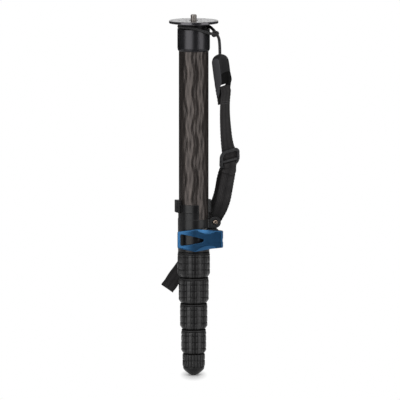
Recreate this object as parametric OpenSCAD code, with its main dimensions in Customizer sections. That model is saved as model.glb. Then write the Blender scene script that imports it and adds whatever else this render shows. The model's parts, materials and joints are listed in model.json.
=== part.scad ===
// Six-section carbon-fibre camera monopod, folded: camera plate and stud, head collar, outer tube with a
// flip lock, four twist locks, rubber foot and a wrist strap. The origin is the middle of the plate's top
// face, +Z is up along the tubes, +X is towards the strap and -Y towards the lever's front.

/* [Camera plate] */
// Diameter of the plate that the camera sits on
plate_d = 53; // [46:0.5:60]
// Thickness of the plate
plate_t = 3; // [2.5:0.1:5]
// Diameter of the camera stud
stud_d = 6.35; // [5:0.05:8]
// Height of the camera stud above the plate
stud_h = 6.5; // [4:0.1:10]
// Diameter of the stud's lower end, flush in the plate and screwed into the head
stud_base_d = 9.5; // [8.5:0.1:12]
// Length of the stud's lower end in the head
stud_base_l = 8.5; // [5:0.1:10]
// Radius of each ring of small grip holes in the plate
hole_rings = [8.2, 15.6, 23.3]; // [7:0.1:24]
// Holes in each ring
holes_per_ring = 6; // [4:1:10]
// Diameter of a grip hole
hole_d = 2.6; // [0.8:0.1:3]
// Depth of a grip hole
hole_depth = 1; // [0.5:0.1:2]

/* [Head collar] */
// Diameter of the ring under the plate
ring_d = 34.4; // [32:0.1:38]
// Height of the ring under the plate
ring_h = 2; // [1.9:0.1:4]
// Diameter at the bottom of the cord's groove
groove_d = 27.6; // [24:0.1:27.6]
// Height of the cord's groove
groove_h = 3.3; // [3.2:0.1:4.5]
// Wall of the collar round the outer tube
collar_wall = 1.5; // [1:0.1:1.6]
// Height of the collar
collar_h = 24.5; // [18:0.5:40]
// Thickness of the collar's closed top, over the tube
collar_roof = 5.2; // [4.8:0.1:9]
// Height of the rounding at the collar's lower edge
collar_round = 3.2; // [1:0.1:5]
// Diameter of the small set screw that holds the stud
set_screw_d = 1.5; // [1.2:0.1:1.7]

/* [Tubes] */
// Outer diameter of the outer tube
tube_d = 32; // [31:0.1:32.4]
// Wall of each tube
tube_wall = 0.9; // [0.7:0.05:1]
// Radial room between a tube's bore and the next tube
tube_gap = 0.5; // [0.45:0.01:0.6]
// Length of the outer tube that shows between the collar and the lock
tube_show = 174.5; // [150:0.5:260]
// Length of the guide bush on top of each inner tube
bush_l = 40; // [25:0.5:60]
// How far each inner tube's top lies below the one around it
top_step = 1; // [0.5:0.1:3]

/* [Flip lock] */
// Wall of the lock's upper rim
rim_wall = 0.7; // [0.5:0.1:1]
// Height of the lock's upper rim
rim_h = 7.1; // [4:0.1:9]
// Wall of the lock's main ring
lock_wall = 1.1; // [1:0.1:1.3]
// Height of the main ring above the clamp
lock_ring_h = 10; // [8:0.1:14]
// Height of the split clamp
clamp_h = 25; // [24:0.5:32]
// Wall of the clamp's liner
liner_t = 0.8; // [0.6:0.05:0.9]
// Width of the clamp's slit
slit_w = 2; // [1.5:0.1:3]
// Thickness of each clamp ear
ear_t = 7; // [5:0.1:7.5]
// Reach of the ears from the outer tube
ear_out = 12.6; // [12:0.1:14]
// Thickness of the cam pad
pad_t = 1; // [0.6:0.1:1.4]
// Diameter of the tension bolt
bolt_d = 3.5; // [3:0.1:4]
// Diameter of the barrel pin that the lever turns on
pin_d = 5; // [4.6:0.1:6]
// Length of the barrel pin
pin_l = 13.5; // [12:0.5:14]
// Across-flats size of the adjusting nut
nut_af = 8; // [6:0.5:9]
// Thickness of the adjusting nut
nut_t = 4; // [3:0.1:5]

/* [Flip lever] */
// Distance of the lever's pivot from the outer tube
pivot_out = 8.5; // [8.2:0.1:9]
// Height of the clamp's top above the middle of the lever
lever_drop = 11.6; // [11:0.1:13]
// Radius of the lever's cam end
cam_r = 7.2; // [6.5:0.1:7.8]
// Thickness of the lever's arm
arm_t = 3.3; // [2.5:0.1:4]
// Angle round the tube, from the front, at which the arm ends
arm_wrap = 57; // [45:1:65]
// Height of the lever at its finger end
lever_h_tip = 17; // [12:0.1:20]
// Height of the lever at its widest place
lever_h_mid = 24.4; // [20:0.1:24.6]
// Height of the lever at its cam end
lever_h_cam = 18.2; // [17.8:0.1:20]
// Rise of the cam end above the middle of the lever
cam_lift = 1.2; // [0.8:0.1:1.4]
// Distance of the widest place from the tube's axis
lever_mid_x = 2.5; // [0:0.1:6]
// Height of the lever's window at its wide end
window_h = 11.6; // [8:0.1:12]
// Length of the lever's window
window_l = 25; // [18:0.5:26]

/* [Strap hardware] */
// Radius of the strap lug's eye
lug_r = 6; // [5:0.1:6.6]
// Thickness of the strap lug
lug_t = 3.5; // [2.5:0.1:4.2]
// Reach of the strap lug's eye from the outer tube
lug_out = 7.3; // [7:0.1:8]
// Height of the strap lug's eye above the clamp
lug_rise = 6.4; // [6:0.1:7]
// Diameter of the strap screw's shank
screw_d = 3; // [2.5:0.1:4]
// Diameter of the strap screw's head
screw_head_d = 5.6; // [5:0.1:7]
// Diameter of the washer behind the strap
washer_d = 9; // [8:0.1:10]
// Height of the clip's band
clip_h = 8.7; // [7:0.1:12]
// Wall of the clip's band
clip_wall = 1.2; // [0.9:0.1:1.5]
// Height of the clip's finger tabs
tab_h = 13; // [10.5:0.1:16]
// How far the finger tabs stand out of the band
tab_out = 2.6; // [1.5:0.1:2.8]

/* [Wrist strap] */
// Diameter of the cord
cord_d = 3; // [2.6:0.1:3]
// Diameter of the knot
knot_d = 6.6; // [6:0.1:7]
// Width of the webbing
web_w = 15.5; // [13:0.1:16]
// Thickness of the webbing
web_t = 1.4; // [1:0.1:1.6]
// Width of the moulded tab
pod_w = 17; // [16.5:0.1:18]
// Thickness of the moulded tab
pod_t = 10; // [8:0.1:10.4]
// Depth of the recess in the tab's face
pod_recess = 6; // [4:0.1:6.5]
// Width of the buckle
buckle_w = 22; // [21:0.1:24]
// Height of the buckle
buckle_h = 18; // [17:0.1:18.4]
// Thickness of the buckle
buckle_t = 2.6; // [2:0.1:2.8]
// Width of each of the buckle's three bars
buckle_bar = 3; // [2.4:0.1:3.2]

/* [Twist locks] */
// Length of a twist collar
twist_l = 28; // [26:0.1:34]
// Length of the last twist collar
twist_last_l = 26.7; // [26:0.1:32]
// Wall of the ferrule on the tube's end
ferrule_t = 0.9; // [0.6:0.05:0.9]
// Wall of the metal nut
nut_wall = 0.9; // [0.7:0.05:1]
// Thickness of the rubber grip
grip_t = 0.85; // [0.7:0.05:1]
// Depth of the grip's grooves
grip_cut = 0.45; // [0.3:0.05:0.5]
// Width of the grip's upright grooves
flute_w = 1; // [0.7:0.1:1.2]
// Pitch of the grip's upright grooves
flute_pitch = 3.2; // [2.6:0.1:4.5]
// Bands of ribs on a grip
band_count = 4; // [2:1:5]
// Height of the slope at a twist collar's lower edge
twist_taper = 3.2; // [2:0.1:4]
// Depth that a tube's end sits in its twist collar
tube_seat = 14.5; // [12:0.1:15]
// Wall of a collet at its lower end
collet_nose = 0.8; // [0.5:0.05:1]
// Slits in each collet
collet_slits = 4; // [3:1:8]

/* [Foot] */
// Wall of the ribbed foot collar
foot_wall = 2.75; // [2.25:0.05:3.5]
// Height of the ribbed foot collar
foot_ring_h = 13.6; // [11:0.1:18]
// Height of the tapered rubber tip
foot_tip_h = 10; // [8:0.1:14]
// Diameter of the flat at the bottom of the tip
foot_flat_d = 9; // [6:0.1:12]
// Diameter of the foot's stud
foot_stud_d = 6; // [5:0.1:8]
// Length of the foot's plug inside the tube
plug_l = 18; // [12:0.5:30]

/* [Clearances] */
// Radial gap of a glued or pressed joint
glue_gap = 0.02; // [0.01:0.01:0.05]
// Radial gap of a sliding fit
slide_gap = 0.08; // [0.05:0.01:0.1]
// Radial gap of a turning fit
turn_gap = 0.06; // [0.04:0.01:0.1]
// Gap between pieces that move past each other
run_gap = 0.35; // [0.3:0.05:0.5]
// Gap between stacked collars
stack_gap = 0.3; // [0.3:0.05:0.6]
// Gap over the inner tubes and under the flip lock
end_gap = 0.5; // [0.3:0.05:1]
// Gap between the lever's arm and the lock
arm_gap = 0.5; // [0.3:0.05:0.8]

/* [Hidden] */
$fn = 64;

// Overshoot of a cutting body past the face that it cuts
over = 1;
// Half-size of a cutting body that has to pass everything
far = 60;

// Heights of the head, measured down from the plate's top
z_ring = -plate_t;
z_groove = z_ring - ring_h;
z_collar = z_groove - groove_h;
z_collar_end = z_collar - collar_h;
z_roof = z_collar - collar_roof;
set_screw_z = z_ring - ring_h / 2;
collar_d = tube_d + 2 * collar_wall;
collar_edge = 0.6;
collar_draw = 1.2;

// Heights of the flip lock
z_rim = z_collar_end - tube_show;
z_lock = z_rim - rim_h;
z_clamp = z_lock - lock_ring_h;
z_lock_end = z_clamp - clamp_h;
relief_h = 0.8;
relief_from = 30;
relief_to = 150;
lock_r = tube_d / 2 + lock_wall;
rim_d = tube_d + 2 * rim_wall;
ear_reach = tube_d / 2 + ear_out;
ear_rise = 3.9;

// Tubes: section 1 is the outer one
tube_step = 2 * (tube_wall + tube_gap);
function od(n) = tube_d - (n - 1) * tube_step;
function bore(n) = od(n) - 2 * tube_wall;
function tube_top(n) = n == 1 ? z_roof : z_roof - end_gap - (n - 1) * top_step;

// Twist locks: lock n sits on the end of tube n and holds tube n + 1
first_twist = 2;
last_twist = 5;
last_tube = 6;
z_twist_first = z_lock_end - end_gap;
function twist_len(n) = n == last_twist ? twist_last_l : twist_l;
function twist_top(n) = z_twist_first - (n - first_twist) * (twist_l + stack_gap);
function twist_end(n) = twist_top(n) - twist_len(n);
function tube_end(n) = n == 1 ? z_clamp : n == last_tube ? z_foot - foot_seat : twist_top(n) - tube_seat;
function ferrule_r(n) = od(n) / 2 + glue_gap + ferrule_t;
function nut_bore_r(n) = ferrule_r(n) + turn_gap;
function nut_r(n) = nut_bore_r(n) + nut_wall;
function grip_r(n) = nut_r(n) + glue_gap + grip_t;
lip_h = 2;
waist = 1.9;
hem = 0.3;
rib_root = 0.2;
band_gap = 1;

// Foot
z_foot = twist_end(last_twist) - stack_gap;
z_foot_tip = z_foot - foot_ring_h;
z_floor = z_foot_tip - foot_tip_h;
foot_flange_h = 2;
foot_seat = 0.4;
foot_d = od(last_tube) + 2 * foot_wall;

// Flip lever: pivot place, from the ears outwards
pad_face = slit_w / 2 + ear_t + pad_t;
pivot = [tube_d / 2 + pivot_out, -(pad_face + run_gap + cam_r)];
lever_end_x = pivot[0] + cam_r;
lever_in_r = lock_r + arm_gap;
lever_out_r = lever_in_r + arm_t;
lever_z = z_clamp - lever_drop;
lever_open = 100;
lever_fork = bolt_d + 2 * run_gap;
pin_head_gap = 0.4;

// Strap lug and clip
lug_x = tube_d / 2 + lug_out;
lug_z = z_clamp + lug_rise;
lug_back = -2.2;
lug_front = lug_back - lug_t;
lug_rim = 1.2;
lug_face = lug_front - lug_rim;
clip_lift = 0.2;
clip_z = z_rim + clip_lift;
clip_r = tube_d / 2 + glue_gap + clip_wall;
// Angles round the tube, from the front towards +X, of the window in the rim and the clip
window_from = 20;
window_to = 74;
tab_angles = [-72, 92];
left_tab_more = 0.8;
right_tab_less = 0.8;
tab_reach = [tab_out + left_tab_more, tab_out - right_tab_less];
tab_half = 21;
rib_count = 4;
rib_d = 1.4;

// Wrist strap: each webbing station is [x, y, z, yaw, roll, width share]
web_gap = 0.3;
upper_route = [
    [33.2, 4.6, -80, 49, 7, 1], [33.3, 5.0, -88, 49, 7, 1], [33.4, 5.6, -98, 48, 7, 1],
    [33.9, 6.3, -109, 45, 7, 1], [34.6, 7.3, -120, 41, 7, 1], [35.6, 8.8, -131, 36, 7, 1],
    [37.0, 11.4, -140, 31, 7, 1], [37.0, 14.4, -148, 30, 7, 1]
];
tail_route = [
    [37.0, 15.0, -148.5, 30, 7, 1], [36.4, 18.4, -157, 28, 5, 1], [34.5, 20.1, -165, 20, 1, 1],
    [32.3, 20.0, -175, 12, -6, 1], [30.6, 19.6, -185, 6, -10, 1], [28.4, 19.8, -194, 3, -14, 1],
    [24.5, 20.6, -205, 0, -22, 1], [18, 21.5, -219, 0, -28, 1], [10, 22.5, -234, 0, -31, 1],
    [1, 23, -249, 0, -33, 1], [-9, 23, -265, 0, -34, 1], [-20, 22.5, -281, 0, -35, 1],
    [-29, 22, -294, 0, -35, 1]
];
lower_route = [
    [37.6, 16.6, -159.4, 28, 6, 1], [37.5, 15.6, -165, 20, 2, 1], [35.5, 12.4, -175, 12, -6, 1],
    [33.7, 9.2, -185, 6, -10, 1], [31.7, 6.2, -194, 3, -14, 1], [28.8, 3.6, -203.5, 0, -22, 0.95],
    [lug_x + 2.7, 0, lug_z + 6.5, 0, -27, 0.8], [lug_x + 0.5, 0, lug_z + 0.5, 0, -29, 0.66],
    [lug_x - 0.6, 0, lug_z - 3, 0, -29, 0.62]
];
// The cord: from the tab up to the knot, forward round the neck and back to the knot
cord_route = [
    [28.2, 0.5, -37.2], [28.1, 0.4, -31], [27.8, 0.2, -25], [27.0, -0.3, -19.5], [24.6, -1.6, -15.6],
    [21.4, -4.6, -14.9], [17.8, -9.4, -13.8], [12.0, -16.0, -11.4], [4.6, -19.6, -8.4], [-3.4, -17.6, -6.7],
    [-9.8, -12.6, -6.65], [-14.3, -7, -6.65], [-16, 0, -6.65], [-14.3, 7, -6.65], [-9.8, 12.6, -6.65],
    [-3.3, 15.7, -6.65], [4, 15.5, -6.65], [10.6, 12.8, -6.7], [16.2, 8.8, -6.9], [20.0, 5.4, -8.6],
    [22.9, 3.2, -10.9], [24.4, 2.2, -12.6]
];
cord_sides = 8;
knot_place = [25, 0.2, -14.4];
pod_place = [31.0, 2.8, -63];
pod_turn = [-1, -7.5, 49];
pod_top = 26.6;
pod_end = -16.4;
pod_draw = 2;
buckle_place = [38.1, 13, -149.7];
buckle_turn = [20, -8, 30];

// A point at a radius and an angle from the front towards +X
function from_front(r, a) = [r * sin(a), -r * cos(a)];
// Unit vector
function unit(v) = v / norm(v);
// Direction of a line of points at one of them
function along(p, i) = unit(p[min(i + 1, len(p) - 1)] - p[max(i - 1, 0)]);
// Places alone of a list of stations
function places(s) = [for (q = s) [q[0], q[1], q[2]]];
// Width direction of a webbing station
function across(q) = [cos(q[3]) * cos(q[4]), sin(q[3]) * cos(q[4]), sin(q[4])];
// Triangles that join rings of k points into a closed skin
function skin(rings, k) = concat(
    [for (i = [1 : k - 2]) [0, i, i + 1]],
    [for (r = [0 : rings - 2], i = [0 : k - 1]) [r * k + i, (r + 1) * k + i, r * k + (i + 1) % k]],
    [for (r = [0 : rings - 2], i = [0 : k - 1])
        [r * k + (i + 1) % k, (r + 1) * k + i, (r + 1) * k + (i + 1) % k]],
    [for (i = [1 : k - 2]) [(rings - 1) * k, (rings - 1) * k + i + 1, (rings - 1) * k + i]]
);

// Strip of webbing along its stations
module strip(stations) {
    p = places(stations);
    points = [for (i = [0 : len(p) - 1])
        let (w = across(stations[i]), n = unit(cross(along(p, i), w)), half = web_w * stations[i][5] / 2)
        each [p[i] + w * half + n * web_t / 2, p[i] - w * half + n * web_t / 2,
            p[i] - w * half - n * web_t / 2, p[i] + w * half - n * web_t / 2]];
    polyhedron(points, skin(len(p), 4));
}

// Round tube along a route, with rings square to it
module rope(route, d, sides) {
    steep = 0.8;
    points = [for (i = [0 : len(route) - 1])
        let (t = along(route, i), side = abs(t[2]) > steep ? [0, 1, 0] : [0, 0, 1])
        let (u = unit(cross(t, side)), v = cross(t, u))
        each [for (k = [0 : sides - 1])
            route[i] + (u * cos(360 * k / sides) + v * sin(360 * k / sides)) * d / 2]];
    polyhedron(points, skin(len(route), sides));
}

// Flat shape in X and Z, given thickness from y0 to y1
module along_y(y0, y1) {
    translate([0, y1, 0]) rotate([90, 0, 0]) linear_extrude(y1 - y0) children();
}

// Ring between two heights
module pipe(r_out, r_in, z0, z1) {
    translate([0, 0, z0]) difference() {
        cylinder(r = r_out, h = z1 - z0);
        translate([0, 0, -over]) cylinder(r = r_in, h = z1 - z0 + 2 * over);
    }
}

// Upright wedge round the tube between two angles from the front
module wedge(a0, a1, z0, z1) {
    steps = 6;
    rim = [for (i = [0 : steps]) from_front(far, a0 + (a1 - a0) * i / steps)];
    translate([0, 0, z0]) linear_extrude(z1 - z0) polygon(concat([[0, 0]], rim));
}

module camera_plate() {
    edge = 0.5;
    color([0.42, 0.42, 0.44]) difference() {
        rotate_extrude() polygon([
            [0, 0], [plate_d / 2 - edge, 0], [plate_d / 2, -edge], [plate_d / 2, edge - plate_t],
            [plate_d / 2 - edge, -plate_t], [0, -plate_t]
        ]);
        translate([0, 0, -plate_t - over]) cylinder(d = stud_base_d + 2 * glue_gap, h = plate_t + 2 * over);
        for (r = hole_rings, i = [0 : holes_per_ring - 1])
            rotate(360 * i / holes_per_ring) translate([r, 0, -hole_depth])
                cylinder(d = hole_d, h = 2 * hole_depth);
    }
}

module camera_stud() {
    color([0.72, 0.68, 0.62]) union() {
        cylinder(d = stud_d, h = stud_h);
        translate([0, 0, -plate_t - stud_base_l]) cylinder(d = stud_base_d, h = plate_t + stud_base_l);
    }
}

module stud_set_screw() {
    reach = ring_d / 2 - stud_base_d / 2 - glue_gap;
    color([0.75, 0.75, 0.75])
        translate([0, -ring_d / 2, set_screw_z]) rotate([-90, 0, 0]) cylinder(d = set_screw_d, h = reach);
}

module head_collar() {
    r = collar_d / 2;
    bore_r = tube_d / 2 + glue_gap;
    color([0.16, 0.16, 0.17]) difference() {
        rotate_extrude() polygon([
            [0, z_ring], [ring_d / 2, z_ring], [ring_d / 2, z_groove], [groove_d / 2, z_groove],
            [groove_d / 2, z_collar], [r - collar_edge, z_collar], [r, z_collar - collar_edge],
            [r, z_collar_end + collar_round], [r - collar_draw / 3, z_collar_end + collar_round / 3],
            [r - collar_draw, z_collar_end], [bore_r, z_collar_end], [bore_r, z_roof], [0, z_roof]
        ]);
        translate([0, 0, z_ring - stud_base_l - glue_gap])
            cylinder(r = stud_base_d / 2 + glue_gap, h = stud_base_l + over);
        translate([0, -far, set_screw_z]) rotate([-90, 0, 0])
            cylinder(r = set_screw_d / 2 + glue_gap, h = far);
    }
}

// Carbon tube of section n
module carbon_tube(n) {
    color([0.36, 0.34, 0.33]) pipe(od(n) / 2, bore(n) / 2, tube_end(n), tube_top(n));
}

// Guide bush near the top of inner tube n
module guide_bush(n) {
    r_in = od(n) / 2 + glue_gap;
    color([0.85, 0.85, 0.82]) pipe(bore(n - 1) / 2 - slide_gap, r_in, tube_top(n) - bush_l, tube_top(n));
}

module strap_clip() {
    r_in = tube_d / 2 + glue_gap;
    z_end = clip_z + tab_h;
    color([0.14, 0.14, 0.15]) difference() {
        union() {
            difference() {
                translate([0, 0, clip_z]) cylinder(r = clip_r, h = clip_h);
                wedge(window_from, window_to, clip_z - over, clip_z + clip_h + over);
            }
            for (t = [0 : len(tab_angles) - 1]) {
                from = tab_angles[t] - tab_half;
                rib_r = clip_r + tab_reach[t] - rib_d / 2;
                intersection() {
                    translate([0, 0, clip_z]) cylinder(r = rib_r, h = tab_h);
                    wedge(from, from + 2 * tab_half, clip_z, z_end);
                }
                for (i = [0 : rib_count - 1])
                    rotate(from + tab_half * (2 * i + 1) / rib_count)
                        translate([0, -rib_r, clip_z]) cylinder(d = rib_d, h = tab_h);
            }
        }
        translate([0, 0, clip_z - over]) cylinder(r = r_in, h = tab_h + 2 * over);
    }
}

// Outline of both clamp ears in X and Z
module ear_outline() {
    z_top = z_clamp - relief_h;
    z_low = z_lock_end + ear_rise;
    top_cut = 4.6;
    low_cut = 4.5;
    polygon([
        [lock_r / 2, z_top], [ear_reach - top_cut, z_top], [ear_reach, z_top - top_cut],
        [ear_reach, z_low + low_cut], [ear_reach - low_cut, z_low], [lock_r / 2, z_low]
    ]);
}

// Outline of the strap lug in X and Z
module lug_outline() {
    inset = 0.4;
    translate([lug_x, lug_z]) circle(r = lug_r);
    polygon([
        [lock_r / 2, z_lock - inset], [lug_x - lug_r, z_lock - inset / 2], [lug_x, lug_z + lug_r],
        [lug_x, lug_z - lug_r], [lock_r / 2, z_clamp + inset]
    ]);
}

// Plan of the strap lug, a flat plate whose front is filleted into the ring
module lug_plan() {
    fillet_r = 3;
    y = lug_face - fillet_r;
    middle = [sqrt(pow(lock_r + fillet_r, 2) - y * y), y];
    difference() {
        polygon([
            [0, lug_back], middle * lock_r / norm(middle), middle, [middle[0], lug_face],
            [lug_x + lug_r, lug_face], [lug_x + lug_r, lug_back]
        ]);
        translate(middle) circle(r = fillet_r);
    }
}

module lock_body() {
    recess_gap = 0.5;
    inner_y = slit_w / 2;
    liner_r = od(2) / 2 + slide_gap + liner_t + glue_gap;
    color([0.17, 0.17, 0.18]) difference() {
        union() {
            translate([0, 0, z_lock_end]) cylinder(r = lock_r, h = z_lock - z_lock_end);
            difference() {
                translate([0, 0, z_lock - over]) cylinder(d = rim_d, h = rim_h + over);
                wedge(window_from, window_to, z_lock, z_rim + over);
            }
            along_y(inner_y, inner_y + ear_t) ear_outline();
            along_y(-inner_y - ear_t, -inner_y) ear_outline();
            intersection() {
                along_y(-lock_r, lug_back) lug_outline();
                translate([0, 0, z_lock_end]) linear_extrude(far) lug_plan();
            }
        }
        translate([0, 0, z_clamp]) cylinder(r = tube_d / 2 + glue_gap, h = far);
        translate([0, 0, z_lock_end - over]) cylinder(r = liner_r, h = clamp_h + 2 * over);
        translate([0, -inner_y, z_lock_end - over]) cube([far, slit_w, clamp_h + over]);
        intersection() {
            translate([0, 0, z_clamp - relief_h]) cylinder(r = far, h = relief_h);
            wedge(relief_from, relief_to, z_clamp - relief_h, z_clamp);
        }
        translate([pivot[0], -far, lever_z]) rotate([-90, 0, 0])
            cylinder(r = bolt_d / 2 + turn_gap, h = 2 * far);
        translate([lug_x, -far, lug_z]) rotate([-90, 0, 0]) cylinder(r = screw_d / 2 + turn_gap, h = 2 * far);
        translate([lug_x, -far, lug_z]) rotate([-90, 0, 0])
            cylinder(r = screw_head_d / 2 + recess_gap, h = far + lug_front);
    }
}

module clamp_liner() {
    r_in = od(2) / 2 + slide_gap;
    color([0.8, 0.8, 0.78]) difference() {
        pipe(r_in + liner_t, r_in, z_lock_end, z_clamp - glue_gap);
        translate([0, -slit_w / 2, z_lock_end - over]) cube([far, slit_w, clamp_h + 2 * over]);
    }
}

module tension_bolt() {
    thread_end = 1;
    y_back = pad_face - pad_t + nut_t + thread_end;
    y_front = pivot[1] + pin_d / 2 + glue_gap;
    color([0.6, 0.6, 0.62]) translate([pivot[0], y_front, lever_z]) rotate([-90, 0, 0])
        cylinder(d = bolt_d, h = y_back - y_front);
}

module barrel_pin() {
    color([0.65, 0.65, 0.67]) translate([pivot[0], pivot[1], lever_z - pin_l / 2])
        cylinder(d = pin_d, h = pin_l);
}

module cam_pad() {
    size = 9;
    color([0.12, 0.12, 0.12]) difference() {
        translate([pivot[0] - size / 2, -pad_face, lever_z - size]) cube([size, pad_t, 2 * size]);
        translate([pivot[0], -far, lever_z]) rotate([-90, 0, 0])
            cylinder(r = bolt_d / 2 + turn_gap, h = far);
    }
}

module adjust_nut() {
    y = pad_face - pad_t;
    color([0.6, 0.6, 0.62]) translate([pivot[0], y, lever_z]) rotate([-90, 0, 0]) difference() {
        cylinder(d = nut_af / cos(30), h = nut_t, $fn = 6);
        translate([0, 0, -over]) cylinder(r = bolt_d / 2 + glue_gap, h = nut_t + 2 * over);
    }
}

module strap_screw() {
    head_h = 1.8;
    socket_d = 2.2;
    socket_floor = 0.4;
    thread_end = 2;
    y_end = web_t / 2 + web_gap + thread_end;
    color([0.62, 0.52, 0.46]) translate([lug_x, lug_front, lug_z]) rotate([-90, 0, 0]) difference() {
        union() {
            cylinder(d = screw_d, h = y_end - lug_front);
            rotate_extrude() polygon([
                [0, 0], [screw_head_d / 2, 0], [screw_head_d / 2, -head_h / 3], [screw_head_d / 3, -head_h],
                [0, -head_h]
            ]);
        }
        translate([0, 0, -head_h - over]) cylinder(d = socket_d, h = head_h + over - socket_floor, $fn = 6);
    }
}

module strap_washer() {
    y = web_t / 2 + web_gap;
    washer_t = 1.6;
    color([0.3, 0.3, 0.31]) translate([lug_x, y, lug_z]) rotate([-90, 0, 0]) difference() {
        cylinder(d = washer_d, h = washer_t);
        translate([0, 0, -over]) cylinder(r = screw_d / 2 + glue_gap, h = washer_t + 2 * over);
    }
}

module strap_cord() {
    color([0.2, 0.2, 0.2]) rope(cord_route, cord_d, cord_sides);
}

module cord_knot() {
    lean = 35;
    hollow = 1;
    color([0.2, 0.2, 0.2]) translate(knot_place) rotate([0, lean, 0]) union() {
        sphere(d = knot_d - hollow);
        rotate_extrude() translate([knot_d / 2 - cord_d / 2, 0]) circle(d = cord_d);
    }
}

module strap_tab() {
    r = pod_w / 2;
    floor_y = pod_recess - pod_t / 2;
    slot_share = 0.6;
    slot_h = 2.6;
    slot_z = -9.6;
    recess_top = 6;
    color([0.24, 0.24, 0.25]) translate(pod_place) rotate(pod_turn) difference() {
        along_y(-pod_t / 2, pod_t / 2) polygon(concat(
            [for (a = [0 : 10 : 180]) [r * cos(a), pod_top - r + r * sin(a)]],
            [[-r, pod_end + pod_draw], [pod_draw - r, pod_end], [r, pod_end]]
        ));
        translate([-r / 2, -pod_t, pod_end - over])
            cube([pod_w, pod_t + floor_y, recess_top - pod_end + over]);
        translate([-r / 2, -pod_t, slot_z]) cube([pod_w * slot_share, 2 * pod_t, slot_h]);
    }
}

// Webbing with a hole for the strap screw's shank
module webbing_lower() {
    color([0.2, 0.19, 0.2]) difference() {
        strip(lower_route);
        translate([lug_x, -far, lug_z]) rotate([-90, 0, 0]) cylinder(r = screw_d / 2 + web_gap, h = 2 * far);
    }
}

module webbing_upper() {
    color([0.2, 0.2, 0.2]) strip(upper_route);
}

module webbing_tail() {
    color([0.18, 0.17, 0.17]) strip(tail_route);
}

// Three-bar slider: the webbing runs behind it
module strap_buckle() {
    corner = 3.5;
    slot_w = web_w + 1;
    slot_h = (buckle_h - 3 * buckle_bar) / 2;
    color([0.22, 0.22, 0.22]) translate(buckle_place) rotate(buckle_turn) along_y(-buckle_t / 2, buckle_t / 2)
        difference() {
            union() {
                square([buckle_w, buckle_h - 2 * corner], center = true);
                square([buckle_w - 2 * corner, buckle_h], center = true);
                for (x = [-1, 1], z = [-1, 1])
                    translate([x * (buckle_w / 2 - corner), z * (buckle_h / 2 - corner)]) circle(r = corner);
            }
            for (z = [-1, 1])
                translate([0, z * (slot_h + buckle_bar) / 2]) square([slot_w, slot_h], center = true);
        }
}

// Plan of the lever: arm round the tube, straight front and round cam
module lever_plan() {
    steps = 24;
    arc = function (r, a0, a1) [for (i = [0 : steps]) from_front(r, a0 + (a1 - a0) * i / steps)];
    inner_end = 36;
    nose = 2.4;
    cam_join = 37;
    polygon(concat(
        arc(lever_out_r, -arm_wrap, 0),
        [[lever_end_x - nose, -lever_out_r], [lever_end_x, nose - lever_out_r], [lever_end_x, pivot[1]],
            pivot, [pivot[0] - cam_r * cos(cam_join), pivot[1] + cam_r * sin(cam_join)]],
        arc(lever_in_r, inner_end, -arm_wrap)
    ));
    intersection() {
        translate(pivot) circle(r = cam_r);
        translate([0, -lever_out_r]) square(far);
    }
}

// Front outline of the lever in X and Z
module lever_front() {
    tip_x = -far / 2;
    cam_past = 1;
    cam_x = pivot[0] + cam_past;
    droop = 3;
    half = [lever_h_tip / 2, lever_h_mid / 2, lever_h_cam / 2];
    polygon([
        [tip_x, half[0] - droop], [-lever_in_r, half[0]], [lever_mid_x, half[1]],
        [cam_x, cam_lift + half[2]], [far, cam_lift + half[2]], [far, cam_lift - half[2]],
        [cam_x, cam_lift - half[2]], [lever_mid_x, -half[1]], [-lever_in_r, -half[0]],
        [tip_x, droop - half[0]]
    ]);
}

// Room that the tension bolt needs in the cam as the lever opens
module bolt_sweep() {
    side = bolt_d / 2 + run_gap;
    translate([pivot[0], pivot[1], lever_z - lever_fork / 2]) linear_extrude(lever_fork) polygon([
        [-side, 0], [-side, far], [far, far], far * [cos(90 - lever_open), sin(90 - lever_open)]
            + side * [sin(90 - lever_open), -cos(90 - lever_open)],
        side * [sin(90 - lever_open), -cos(90 - lever_open)], [-side, -side]
    ]);
}

module flip_lever() {
    window_edge = 3.1;
    window_x = window_edge - lock_r;
    tip = 1.4;
    color([0.2, 0.38, 0.56]) difference() {
        intersection() {
            translate([0, 0, lever_z - lever_h_mid]) linear_extrude(2 * lever_h_mid) lever_plan();
            translate([0, 0, lever_z]) along_y(-far, far) lever_front();
        }
        translate([0, 0, lever_z]) along_y(-far, -lever_in_r * cos(arm_wrap)) polygon([
            [window_x, window_h / 2 - tip], [window_x + tip, window_h / 2], [window_x + window_l, tip],
            [window_x + window_l, -tip], [window_x + tip, -window_h / 2], [window_x, tip - window_h / 2]
        ]);
        translate([pivot[0], pivot[1], lever_z - pin_l / 2 - pin_head_gap])
            cylinder(r = pin_d / 2 + turn_gap, h = pin_l + 2 * pin_head_gap);
        bolt_sweep();
    }
}

// Threaded sleeve on the end of tube n
module ferrule(n) {
    color([0.3, 0.3, 0.31]) pipe(ferrule_r(n), od(n) / 2 + glue_gap, tube_end(n), twist_top(n));
}

// Slit gripping ring round tube n + 1, below the end of tube n
module collet(n) {
    r_in = od(n + 1) / 2 + slide_gap;
    r_top = nut_bore_r(n) - run_gap;
    r_low = r_in + collet_nose;
    z_top = tube_end(n);
    z_low = twist_end(n) + lip_h + run_gap;
    slit = 1;
    color([0.86, 0.86, 0.82]) difference() {
        rotate_extrude() polygon([
            [r_in, z_top], [r_top, z_top], [r_top, (z_top + z_low) / 2], [r_low, z_low], [r_in, z_low]
        ]);
        for (i = [0 : collet_slits - 1])
            rotate(360 * i / collet_slits) translate([0, -slit / 2, z_low - over])
                cube([far, slit, (z_top - z_low) / 2 + over]);
    }
}

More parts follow.
